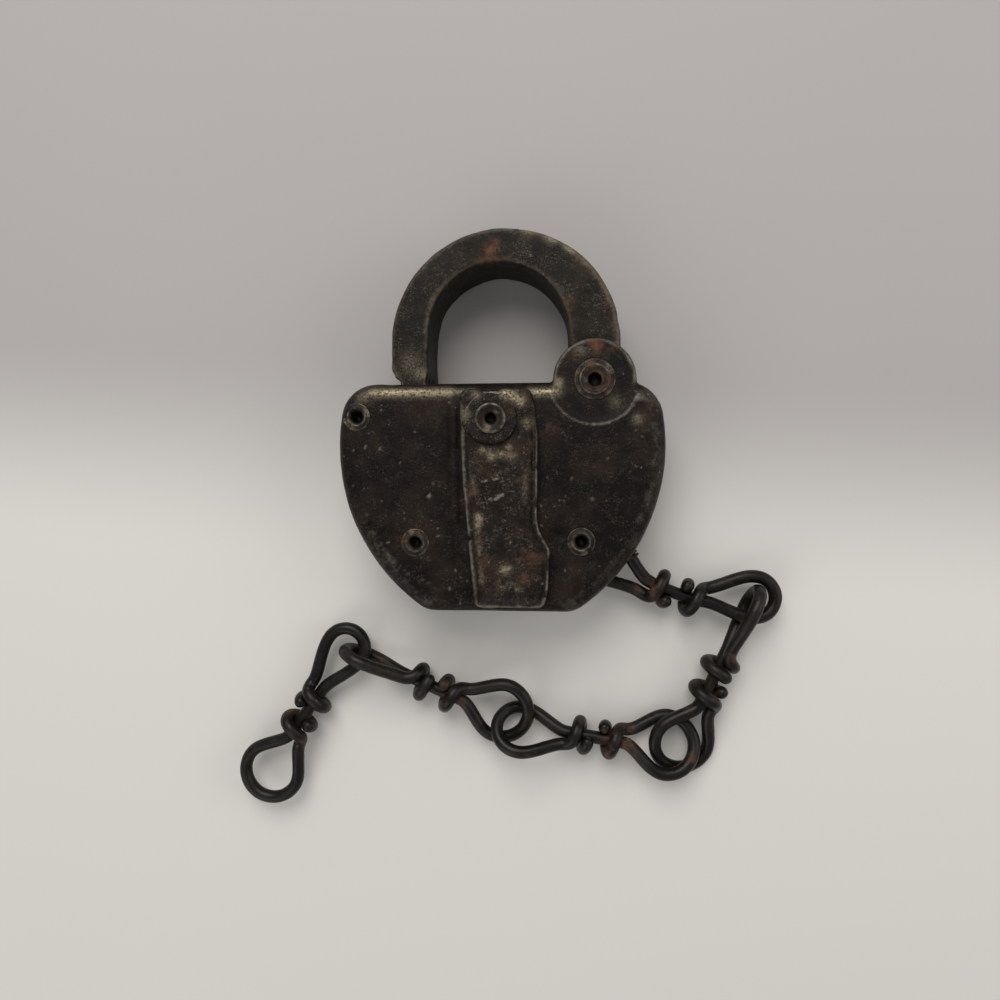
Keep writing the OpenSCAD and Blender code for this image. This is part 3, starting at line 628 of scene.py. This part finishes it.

# cover: stamped plate with a rubbed rim that also carries a painted highlight, and a raised disc at its rivet
coverLook = {
    "voxel": 0.24, "rounds": 5, "sharp": 1.9, "wave": 0.07, "hammer": 0.03, "top": 20.8, "wallZ": 20,
    "disc": (-1.45, 14.9, 5), "bead": 0.45, "scuffs": {"seed": 11, "count": 84, "low": -18.5, "high": 9},
    "melt": 16, "fill": 0.42, "roll": (0.75, 0.34), "rim": {"in": 0.2, "wide": 0.27},
    "lip": {"in": 0.5, "wide": 0.5}, "gutter": {"in": 1.15, "wide": 0.35},
    "discEdge": {"in": 0.12, "wide": 0.2, "lightBearing": 125},
    "shares": {"bend": 0.35, "scratch": 0.6, "lip": 0.4, "disc": 0.75, "gutter": 0.5, "soot": 0.8},
    "dings": [(-1.5, 4.5, 1.2, 0.16), (0.4, 1.2, 0.9, 0.14), (-0.5, -3, 1.1, 0.12), (1.6, -6.8, 0.9, 0.14),
              (0.9, -11, 1.3, 0.14), (2.4, -15, 1, 0.16), (-3.6, 7.5, 0.8, 0.1), (4.2, -13, 0.8, 0.1)],
    "nicks": [(-3.2, 2.9, 0.6, 3.6, 0.35), (-2, -0.9, 0.8, 0.3, 0.4), (-0.8, -6.2, 1.6, -5.9, 0.3),
              (-0.2, -14.4, 2.9, -13.2, 0.4), (2.2, -17, 3.4, -17.6, 0.35)],
    "giltAndHighlight": [(-3, 8.9, 20.8, 0.6, 0.45), (-1.3, 7.7, 20.8, 0.7, 0.6), (0.4, 8.1, 20.8, 0.6, 0.5),
             (2, 9.4, 20.8, 0.55, 0.4), (1.3, 19.6, 21.3, 0.9, 0.75), (2.8, 19, 21.3, 0.9, 0.8),
             (4.3, 18, 21.3, 0.9, 0.6), (-4.3, 19.2, 21.3, 0.9, 0.35), (-3.7, -3.9, 20.8, 0.8, 0.6),
             (-3.9, -5.4, 20.8, 0.7, 0.4), (1.4, -13.8, 20.8, 1, 0.4), (5.6, 14, 21.2, 1, 0.35),
             (-6.6, 15.5, 21.2, 1.2, 0.35)],
    "giltAndHighlightLines": [(-5, 7, -3.2, -16, 20.8, 0.55, 0.24), (-3.4, 8.8, 2.8, 7.8, 20.8, 0.9, 0.24),
                  (5.2, 8, 5, -1, 20.8, 0.5, 0.16), (0.6, -16.5, 3.6, -17.5, 20.8, 0.9, 0.22),
                  (0.5, 19.9, 4.6, 18.6, 21.2, 0.6, 0.8), (-5.8, 18.4, -6.6, 12, 21.2, 0.7, 0.3)],
    "rust": [(4.9, 10, 20.9, 2.4, 0.45), (5, 4, 20.9, 2.2, 0.42), (5.8, -11, 20.9, 2.6, 0.6),
             (5.2, -15.5, 20.9, 2.8, 0.6), (-3.2, -8.5, 20.9, 1.8, 0.5), (-4.8, 1.5, 20.9, 2, 0.5),
             (5, 18.6, 21, 1.6, 0.6), (-1.2, -18, 20.9, 2.4, 0.4), (-3.4, 5, 20.9, 1.6, 0.5),
             (2.6, -8, 20.9, 2.4, 0.35), (1.5, 5.6, 20.9, 2.2, 0.35), (-2.6, -12.5, 20.9, 1.6, 0.45)],
    "soot": [(-0.6, 1.8, 20.9, 1.5, 0.8), (-0.2, -1, 20.9, 1.6, 0.8), (0.2, -4.2, 20.9, 1.8, 0.9),
             (0.5, -7.6, 20.9, 1.8, 0.8), (1, -11.2, 20.9, 1.7, 0.8), (1.4, -14.6, 20.9, 1.2, 0.5),
             (3.6, 2.6, 20.9, 1.4, 0.7), (3.8, -4, 20.9, 1.6, 0.6), (-5.2, 10.5, 20.9, 1.2, 0.5)]}


def edgeDistance(points, wall):
    # how far each point lies in from the plate's outline
    tree = KDTree(len(wall))
    for i, (x, y, _) in enumerate(wall):
        tree.insert((x, y, 0), i)
    tree.balance()
    return np.array([tree.find((x, y, 0))[2] for x, y, _ in points])


def shapeCover(look):
    # the plate: low beside its disc, filled above it, with the rim rolled over
    skin = denseCopy("cover", look["voxel"], look["rounds"])
    p = skin.points
    upper = smoothStep(p[:, 2], 20.3, 20.7)
    x, y, radius = look["disc"]
    fromDisc = np.hypot(p[:, 0] - x, p[:, 1] - y)
    outside = smoothStep(fromDisc, radius + 0.05, radius + 0.35) * upper
    wall = p[(np.abs(p[:, 2] - look["wallZ"]) < 0.15) & (fromDisc > radius - 1)]
    inward = edgeDistance(p, wall)
    lowered = np.minimum(p[:, 2], look["top"] + look["bead"])
    p[:, 2] += (lowered - p[:, 2]) * outside
    pocket = outside * smoothStep(p[:, 1], 13.5, 17.5) * (inward > 0.5)
    p[:, 2] = np.maximum(p[:, 2], (look["top"] + look["fill"]) * (pocket > 0.5))
    skin.smooth(look["melt"], outside[:, None] * straightUp)
    wide, drop = look["roll"]
    rolled = np.clip(1 - inward / wide, 0, 1) ** 2 * upper * (fromDisc > radius)
    p = skin.points
    p[:, 2] -= drop * rolled
    skin.push((look["wave"] * softNoise(p, 4.0, 8) + look["hammer"] * softNoise(p, 0.9, 9) - 0.03) * upper)
    return skin, upper, fromDisc, inward


def addScuffs(scratched, points, look, top):
    # short scratches at random over the middle of the plate
    chance = np.random.default_rng(look["seed"])
    for _ in range(look["count"]):
        y = chance.uniform(look["low"], look["high"])
        x = chance.uniform(-4.6, 3.4) + 0.12 * (7 - y)
        half = chance.uniform(0.15, 0.8)
        lean = math.radians(chance.normal(14, 30))
        step = (half * math.cos(lean), half * math.sin(lean))
        line = [(x - step[0], y - step[1], top), (x + step[0], y + step[1], top)]
        scratched += gatherLine(points, line, chance.uniform(0.12, 0.24), chance.uniform(0.35, 1.0))


def markCover(skin, look, upper, fromDisc, inward, scratched):
    p, shares = skin.points, look["shares"]
    x, y, z = p.T
    rim, lip, gutter, disc = look["rim"], look["lip"], look["gutter"], look["discEdge"]
    discX, discY, radius = look["disc"]
    marks = edgeMarks(skin, look["sharp"])
    shore = smoothStep(z, 20.2, 20.5) * (fromDisc > radius + 0.2)
    # the rim band is partly edge wear and partly a painted highlight, kept off the top
    rubbed = hump(inward - rim["in"], rim["wide"]) * shore * (1 - 0.75 * smoothStep(y, 6.0, 15.0))
    broken = smoothStep(softNoise(p, 1.7, 12) + 0.5 * softNoise(p, 0.6, 13), -0.9, 0.7)
    # painted highlight on the lip along the left side and the bottom
    across = 0.12 * (7 - y) - x
    paintedLipHighlight = np.maximum(smoothStep(across, 2.5, 4.5), 0.8 * smoothStep(-y, 15.5, 18.5))
    paintedLipHighlight = paintedLipHighlight * hump(inward - lip["in"], lip["wide"]) * shore * patchy(p, 0.6, 20, -0.9, 0.5)
    # painted highlight on the disc's edge, strongest on the side towards the light, partly wear
    lightBearing = np.arctan2(y - discY, x - discX) - math.radians(disc["lightBearing"])
    paintedLitSide = 0.3 + 0.7 * smoothStep(np.cos(lightBearing), 0.1, 0.8)
    paintedRingHighlight = hump(fromDisc - radius + disc["in"], disc["wide"]) * upper * paintedLitSide * broken
    edge = shares["bend"] * marks["edge"] + rubbed * (0.1 + 0.7 * broken) + shares["scratch"] * scratched
    marks["edge"] = np.clip(edge + shares["lip"] * paintedLipHighlight + shares["disc"] * paintedRingHighlight, 0, 1)
    groove = hump(inward - gutter["in"], gutter["wide"]) * shore
    sooty = gather(p, look["soot"]) * patchy(p, 0.9, 16, -0.8, 0.3)
    marks["hollow"] = np.clip(marks["hollow"] + shares["gutter"] * groove + shares["soot"] * sooty, 0, 1)
    addSpots(marks, p, look)
    return marks


def makeCover(look):
    skin, upper, fromDisc, inward = shapeCover(look)
    p = skin.points
    face = smoothStep(skin.normals()[:, 2], 0.7, 0.95) * upper
    scratched = np.zeros(len(p))
    for x, y, endX, endY, wide in look["nicks"]:
        line = [(x, y, look["top"]), (endX, endY, look["top"])]
        scratched += gatherLine(p, line, wide, 1.0) * patchy(p, 0.8, 11, -0.6, 0.2)
    skin.push(-(dents(p, look["dings"]) - 0.1 * scratched) * face, straightUp)
    addScuffs(scratched, p, look["scuffs"], look["top"])
    marks = markCover(skin, look, upper, fromDisc, inward, np.clip(scratched, 0, 1.4) * face)
    addGiltAndHighlightLines(marks, skin.points, look["giltAndHighlightLines"], patchy(skin.points, 1.4, 14, -0.7, 0.5) * face)
    addPiece("swingCover", skin.points, skin.faces, marks, "coverSteel", "cover", "cover_steel", "cover")


makeCover(coverLook)

# rivets: turned pins with a countersunk end below and a spun ring round a hollow above
rivetLook = {"around": 72, "step": 0.12, "uneven": 0.035, "sway": 0.03, "sunk": 0.02, "play": 0.05,
             "chamfer": 0.1, "coneTop": 1.2, "pit": 0.15, "crest": 0.22, "outer": 0.16, "giltAndHighlight": 0.25}
ringHead = [(2.68, 0), (2.7, 0.08), (2.55, 0.14), (2.3, 0.15), (2.12, 0.2), (1.98, 0.27), (1.72, 0.28),
            (1.45, 0.2), (1.25, 0.02), (1.1, -0.3), (1, -0.8), (0.98, -2.4)]
heelHead = [(3.9, 0), (3.92, 0.16), (3.7, 0.3), (3.3, 0.3), (3.15, 0.34), (3.05, 0.46), (2.8, 0.5),
            (2.3, 0.47), (1.95, 0.28), (1.75, 0.12), (1.55, 0.05), (1.3, -0.15), (1.22, -0.6), (1.2, -2.4)]
coverHead = [(2.95, 0.05), (2.98, 0.22), (2.85, 0.4), (2.6, 0.49), (2.3, 0.45), (2.05, 0.28), (1.75, 0.1),
             (1.4, 0), (1.15, -0.2), (1, -0.6), (0.98, -2.4)]
smallPin = {"pin": 1.65, "sink": 2.8, "top": 19, "head": ringHead}
rivets = [
    {"node": "heel_rivet", "piece": "heelPin", "pin": 2.95, "sink": 4.1, "top": 18.5, "head": heelHead,
     "rust": 0.72},
    {"node": "upper_rivet", "piece": "upperPin", **smallPin, "rust": 0.15},
    {"node": "lower_left_rivet", "piece": "lowerLeftPin", **smallPin, "rust": 0.7},
    {"node": "lower_right_rivet", "piece": "lowerRightPin", **smallPin, "rust": 0.2},
    {"node": "cover_rivet", "piece": "coverPin", **smallPin, "top": 21.6, "head": coverHead, "rust": 0.15},
]


def finer(line, step):
    # the same line with points no further apart than step
    made = [line[0]]
    for a, b in zip(line[:-1], line[1:]):
        count = max(1, int(math.dist(a, b) / step))
        made += [tuple(a[k] + (b[k] - a[k]) * i / count for k in range(len(a))) for i in range(1, count + 1)]
    return made


def turned(profile, at, around):
    # solid of revolution; the profile runs from the axis below to the axis above
    profile = [(max(r, 0.0), z) for r, z in profile]
    inner = profile[1:-1]
    points, faces = [(*at, profile[0][1])], []
    for r, z in inner:
        for k in range(around):
            a = 2 * math.pi * k / around
            points.append((at[0] + r * math.cos(a), at[1] + r * math.sin(a), z))
    points.append((*at, profile[-1][1]))
    for k in range(around):
        n = (k + 1) % around
        faces.append((0, 1 + n, 1 + k))
        for i in range(len(inner) - 1):
            a = 1 + i * around
            faces.append((a + k, a + n, a + around + n, a + around + k))
        a = 1 + (len(inner) - 1) * around
        faces.append((a + k, a + n, len(points) - 1))
    return np.array(points), faces


def makeRivets(look, rivets):
    for rivet in rivets:
        low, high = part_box(rivet["node"])
        at = tuple((np.array(low + high) / 2 / mm)[:2])
        pin, sink, top, head = rivet["pin"] - look["play"], rivet["sink"], rivet["top"], rivet["head"]
        foot = finer([(sink - look["chamfer"], 0), (sink, look["chamfer"])], look["chamfer"])
        raised = finer([(r, top + z) for r, z in head], look["step"])
        profile = [(0, 0), *foot, (pin, look["coneTop"]), (pin, top), *raised]
        profile.append((0, top + head[-1][1] - look["pit"]))
        points, faces = turned(profile, at, look["around"])
        above = smoothStep(points[:, 2], top - 0.4, top + 0.05)
        seed = abs(at[0])
        sway = look["uneven"] * softNoise(points, 0.9, seed) + look["sway"] * softNoise(points, 2.2, seed + 1)
        points[:, 2] += sway * above - look["sunk"] * above
        away = np.hypot(points[:, 0] - at[0], points[:, 1] - at[1])
        rimR, mouthR = head[1][0], head[-1][0]
        crestR = max(head, key=lambda place: place[1])[0]
        # painted highlight: the crest and outer rim of each head are lightened all round, partly as wear
        shine = hump(away - crestR, look["crest"]) + hump(away - rimR + 0.1, look["outer"])
        worn = 0.72 + 0.45 * softNoise(points, 0.8, seed + 6) + 0.25 * softNoise(points, 0.35, seed + 8)
        marks = {
            "edge": above * shine * worn,
            "hollow": above * smoothStep(-away, -mouthR - 0.35, -mouthR + 0.1),
            "rust": rivet["rust"] * above * patchy(points, 1.8, seed + 2, -0.8, 0.5),
            "giltAndHighlight": look["giltAndHighlight"] * above * patchy(points, 1.5, seed + 4, 0.0, 0.8)}
        addPiece(rivet["piece"], points, faces, marks, "rivetSteel", "case", "rivet_steel", rivet["node"])


makeRivets(rivetLook, rivets)

# chain: each link is one wire, looped at both ends and wrapped round its own middle
wireLook = {"across": 2.7, "around": 20, "step": 0.42, "uneven": 0.05, "soften": 3, "coilR": 2.76,
            "coilPitch": 2.78, "coilTurn": 420, "coilX": 6.8, "bendR": 2.5, "kinkX": 5, "flare": 0.8,
            "knotR": 6.5, "pinR": 1.6, "pinGap": 0.2, "rubbed": 0.55, "high": 0.4, "sooty": 0.6,
            "knotRust": 0.75, "rust": 0.5}
domeShares = (0.45, 0.8, 0.95)
lowerRight = (15.7, -8.5)  # where the lower right rivet stands
entryYaw, caseReach, reach = -17, 26, 20.65
# each half is its reach, the width of its loop, and its roll, yaw and pitch
links = [
    {"node": "link_1", "at": None, "z": 4.85, "turn": -20,
     "first": (caseReach, 11, 0, entryYaw, 0), "second": (reach, 8.6, -4, 18, -1)},
    {"node": "link_2", "at": (43.3, -37.7), "z": 4.2, "turn": 64.7,
     "first": (reach, 12, -16, -6.5, -4), "second": (reach, 8.6, 90, 0, 1.5)},
    {"node": "link_3", "at": (19, -50.4), "z": 4.1, "turn": -9,
     "first": (reach, 10, 40, -1, 0), "second": (reach, 12, -18, -1.5, 0)},
    {"node": "link_4", "at": (-14.9, -40.6), "z": 4.3, "turn": -23,
     "first": (reach, 8.6, 90, 0, 0), "second": (reach, 12, 10, 0, 0)},
    {"node": "link_5", "at": (-42.9, -46.4), "z": 4.2, "turn": 54,
     "first": (reach, 12, 0, 0, 0), "second": (reach, 8.6, 0, -1, 0.5)},
]


def turnedAbout(axis, degrees):
    return np.array(Matrix.Rotation(math.radians(degrees), 3, axis))


def halfLine(look, far, wide):
    # out of the knot, round the end bend, back beside the middle and once round it
    coilR, coilX, bendR = look["coilR"], look["coilX"], look["bendR"]
    mid, bendX = coilR / 2, far - wide / 2
    span = bendX - coilX
    bendA = math.atan(2 * math.pi * coilR / look["coilPitch"])

    def ease(t):
        return 3 * t * t - 2 * t ** 3 + look["flare"] * (t ** 3 - 2 * t * t + t)

    out = np.arange(18) / 18
    line = [(coilX + span * t, (mid - wide / 2) * ease(t), 0) for t in out]
    for a in np.radians(np.linspace(-90, 90, 41)):
        line.append((bendX + wide / 2 * math.cos(a), mid + wide / 2 * math.sin(a), 0))
    line += [(coilX + span * t, coilR + (mid + wide / 2 - coilR) * ease(t), 0) for t in out[::-1]]
    for a in np.linspace(0, bendA, 8)[1:]:
        turn = bendR * (1 - math.cos(a)) / coilR
        line.append((coilX - bendR * math.sin(a), coilR * math.cos(turn), coilR * math.sin(turn)))
    begin = bendR * (1 - math.cos(bendA)) / coilR
    startX = coilX - bendR * math.sin(bendA)
    for turn in np.linspace(begin, math.radians(look["coilTurn"]), 41)[1:]:
        line.append((startX - look["coilPitch"] * (turn - begin) / (2 * math.pi),
                     coilR * math.cos(turn), coilR * math.sin(turn)))
    return np.array(line)


def placedHalf(look, half):
    far, wide, roll, yaw, pitch = half
    line = halfLine(look, far, wide) @ turnedAbout("X", roll).T
    root = np.array([look["kinkX"], 0, 0])
    swung = (line - root) @ (turnedAbout("Z", yaw) @ turnedAbout("Y", -pitch)).T + root
    return np.where(line[:, :1] > look["kinkX"], swung, line)


def linkLine(look, link):
    first = placedHalf(look, link["first"]) @ turnedAbout("Z", 180).T
    second = placedHalf(look, link["second"])
    middle = np.array([(x, 0, 0) for x in np.linspace(-3.6, 3.6, 9)])
    line = np.concatenate([first[::-1], middle, second]) @ turnedAbout("Z", link["turn"]).T
    at = link["at"]
    if at is None:  # the loop in the case goes round the lower right rivet
        shaft = caseReach - look["across"] / 2 - look["pinR"] - look["pinGap"]
        out = turnedAbout("Z", entryYaw) @ (shaft - look["kinkX"], look["coilR"] / 2, 0)
        out = turnedAbout("Z", link["turn"] + 180) @ (out + (look["kinkX"], 0, 0))
        at = (lowerRight[0] - out[0], lowerRight[1] - out[1])
    return line + (*at, link["z"])


def evenLine(line, step, rounds):
    # points at equal steps, with the corners eased
    for _ in range(2):
        far = np.concatenate([[0], np.cumsum(lengths(np.diff(line, axis=0)))])
        marks = np.linspace(0, far[-1], int(far[-1] / step) + 1)
        line = np.stack([np.interp(marks, far, line[:, k]) for k in range(3)], 1)
        for _ in range(rounds):
            line[1:-1] = line[1:-1] * 0.5 + (line[:-2] + line[2:]) * 0.25
    return line


def wireTube(line, across, around, seed, uneven):
    # round wire along a line, closed with domed ends
    along = np.gradient(line, axis=0)
    along /= lengths(along)[:, None]
    side = np.cross(along[0], [0.31, 0.47, 0.83])
    radius = np.full(len(line), across / 2)
    for i, share in enumerate(domeShares):
        radius[i] *= share
        radius[-1 - i] *= share
    angles = np.arange(around) * 2 * math.pi / around
    rings = []
    for i in range(len(line)):
        side = side - (side @ along[i]) * along[i]
        side /= np.linalg.norm(side)
        up = np.cross(along[i], side)
        rings.append(line[i] + radius[i] * (np.cos(angles)[:, None] * side + np.sin(angles)[:, None] * up))
    points = np.concatenate(rings)
    ways = points - np.repeat(line, around, axis=0)
    ways /= np.maximum(lengths(ways), 1e-9)[:, None]
    lumps = softNoise(points, 1.1, seed) * 0.4 + softNoise(points, 3.5, seed + 2) * 0.6
    points = points + ways * (uneven * lumps - uneven * 0.6)[:, None]
    faces = []
    for i in range(len(line) - 1):
        for k in range(around):
            n = (k + 1) % around
            faces.append((i * around + k, i * around + n, (i + 1) * around + n, (i + 1) * around + k))
    faces.append(tuple(range(around - 1, -1, -1)))
    faces.append(tuple(range((len(line) - 1) * around, len(line) * around)))
    return points, faces


def nearLine(points, line):
    best = np.full(len(points), 1e9)
    for place in line[::2]:
        best = np.minimum(best, lengths(points - place))
    return best


def makeChain(look, links):
    lines = [evenLine(linkLine(look, link), look["step"], look["soften"]) for link in links]
    for index, (link, line) in enumerate(zip(links, lines)):
        points, faces = wireTube(line, look["across"], look["around"], index + 3, look["uneven"])
        atKnot = hump(lengths(points - line[len(line) // 2]), look["knotR"])
        rubbed = np.zeros(len(points))
        for other in (index - 1, index + 1):
            if 0 <= other < len(lines):
                rubbed = np.maximum(rubbed, smoothStep(-nearLine(points, lines[other]), -2.6, -1.5))
        # painted sheen: the upper side of each wire is marked lighter, partly as rubbed metal
        high = smoothStep(points[:, 2], 5.5, 9.5)
        marks = {
            "edge": np.clip(look["rubbed"] * rubbed + look["high"] * high, 0, 1),
            "hollow": look["sooty"] * atKnot,
            "rust": np.clip(look["knotRust"] * atKnot * patchy(points, 2.4, index + 9, -0.3, 0.7)
                            + look["rust"] * patchy(points, 5.0, index + 20, 0.25, 0.8), 0, 1)}
        name, node = link["node"].replace("_", "") + "Wire", link["node"]
        addPiece(name, points, faces, marks, "chainWire", node, "chain_wire", node)
    return lines


chainLines = makeChain(wireLook, links)

# tie wires: thin rusted wire, wound twice round each rod of the first link and strung between them
tieLook = {"across": 0.62, "around": 10, "turns": 2.3, "pitch": 0.72, "ring": 1.68, "sway": 0.05,
           "step": 0.25, "uneven": 0.05, "rust": 0.8, "sag": 0.5, "strand": 0.9}
ties = [("tie_wire_inner", "tieTurnsInner", 0.4), ("tie_wire_outer", "tieTurnsOuter", 2.1)]


def tieTurns(look, centre, way, seed):
    way = way / np.linalg.norm(way)
    side = np.cross(way, [0, 0, 1])
    side /= np.linalg.norm(side)
    up = np.cross(side, way)
    line = []
    for t in np.linspace(0, 1, 60):
        a = 2 * math.pi * look["turns"] * t + seed
        out = look["ring"] + look["sway"] * math.sin(3 * a + seed)
        line.append(centre + way * look["pitch"] * look["turns"] * (t - 0.5)
                    + out * (math.cos(a) * side + math.sin(a) * up))
    return np.array(line)


def tiePiece(look, line, across, seed, pieceName, *replaced):
    points, faces = wireTube(line, across, look["around"], seed, look["uneven"])
    marks = {"rust": np.full(len(points), look["rust"])}
    addPiece(pieceName, points, faces, marks, "tieRust", "link_1", "tie_wire", *replaced)


def makeTies(look, line, ties):
    ends = []
    for nodeName, pieceName, seed in ties:
        low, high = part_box(nodeName)
        centre = np.array((low + high) / 2) / mm
        nearest = int(np.argmin(lengths(line - centre)))
        way = line[nearest + 2] - line[nearest - 2]
        ends.append(evenLine(tieTurns(look, centre, way, seed), look["step"], 1))
        tiePiece(look, ends[-1], look["across"], seed, pieceName, nodeName)
    first, last = ends
    gaps = np.linalg.norm(first[:, None] - last[None], axis=2)
    i, k = np.unravel_index(gaps.argmin(), gaps.shape)
    t = np.linspace(0, 1, 24)[:, None]
    strand = first[i] * (1 - t) + last[k] * t
    strand[:, 2] -= look["sag"] * np.sin(math.pi * t[:, 0])
    tiePiece(look, strand, look["across"] * look["strand"], 7, "tieStrand")


makeTies(tieLook, chainLines[0], ties)

# the lock work behind the cover keeps its exact meshes
workFinishes = {
    "lockSteel": ("key_post", "lever_post", "bolt", "lever_1", "lever_2", "lever_3"),
    "springSteel": ("cover_washer", "bolt_spring", "lever_spring_1", "lever_spring_2", "lever_spring_3")}
for material, nodeNames in workFinishes.items():
    for nodeName in nodeNames:
        node = nodes[nodeName]
        if not node.material_slots:
            node.data.materials.append(finish[material])
        for part in node.material_slots:
            part.material = finish[material]
print("lock work", sum(map(len, workFinishes.values())))

# floor: pale board, a little greyer towards the top as painted shade, standing in for the dimmer backdrop
floorLook = {"half": 3.0, "near": (0.685, 0.649, 0.596), "far": (0.395, 0.366, 0.347), "from": -0.0184,
             "to": 0.0306, "turn": -0.07, "cloudSize": 9, "cloudy": 0.08, "cloud": (0.75, 0.72, 0.68),
             "rough": 0.75, "gloss": 0.2}


def makeFloor(look):
    half = look["half"]
    mesh = bpy.data.meshes.new("floor")
    corners = [(-half, -half, 0), (half, -half, 0), (half, half, 0), (-half, half, 0)]
    mesh.from_pydata(corners, [], [(0, 1, 2, 3)])
    floor = bpy.data.objects.new("floor", mesh)
    floor.rotation_euler.z = look["turn"]
    scene.collection.objects.link(floor)
    material = bpy.data.materials.new("paleBoard")
    material.use_nodes = True
    work = Tree(material.node_tree)
    along = work.add("ShaderNodeSeparateXYZ", {"Vector": work.place()}).outputs["Y"]
    shade = work.ramp(along, look["from"], look["to"])
    tone = work.mix(shade, opaque(look["near"]), opaque(look["far"]))
    cloud = work.times(work.grain(look["cloudSize"], 2, 0.5), look["cloudy"])
    work.fill(material.node_tree.nodes["Principled BSDF"], {
        "Base Color": work.mix(cloud, tone, opaque(look["cloud"])), "Roughness": look["rough"],
        "Specular IOR Level": look["gloss"]})
    mesh.materials.append(material)


makeFloor(floorLook)
print("floor laid")
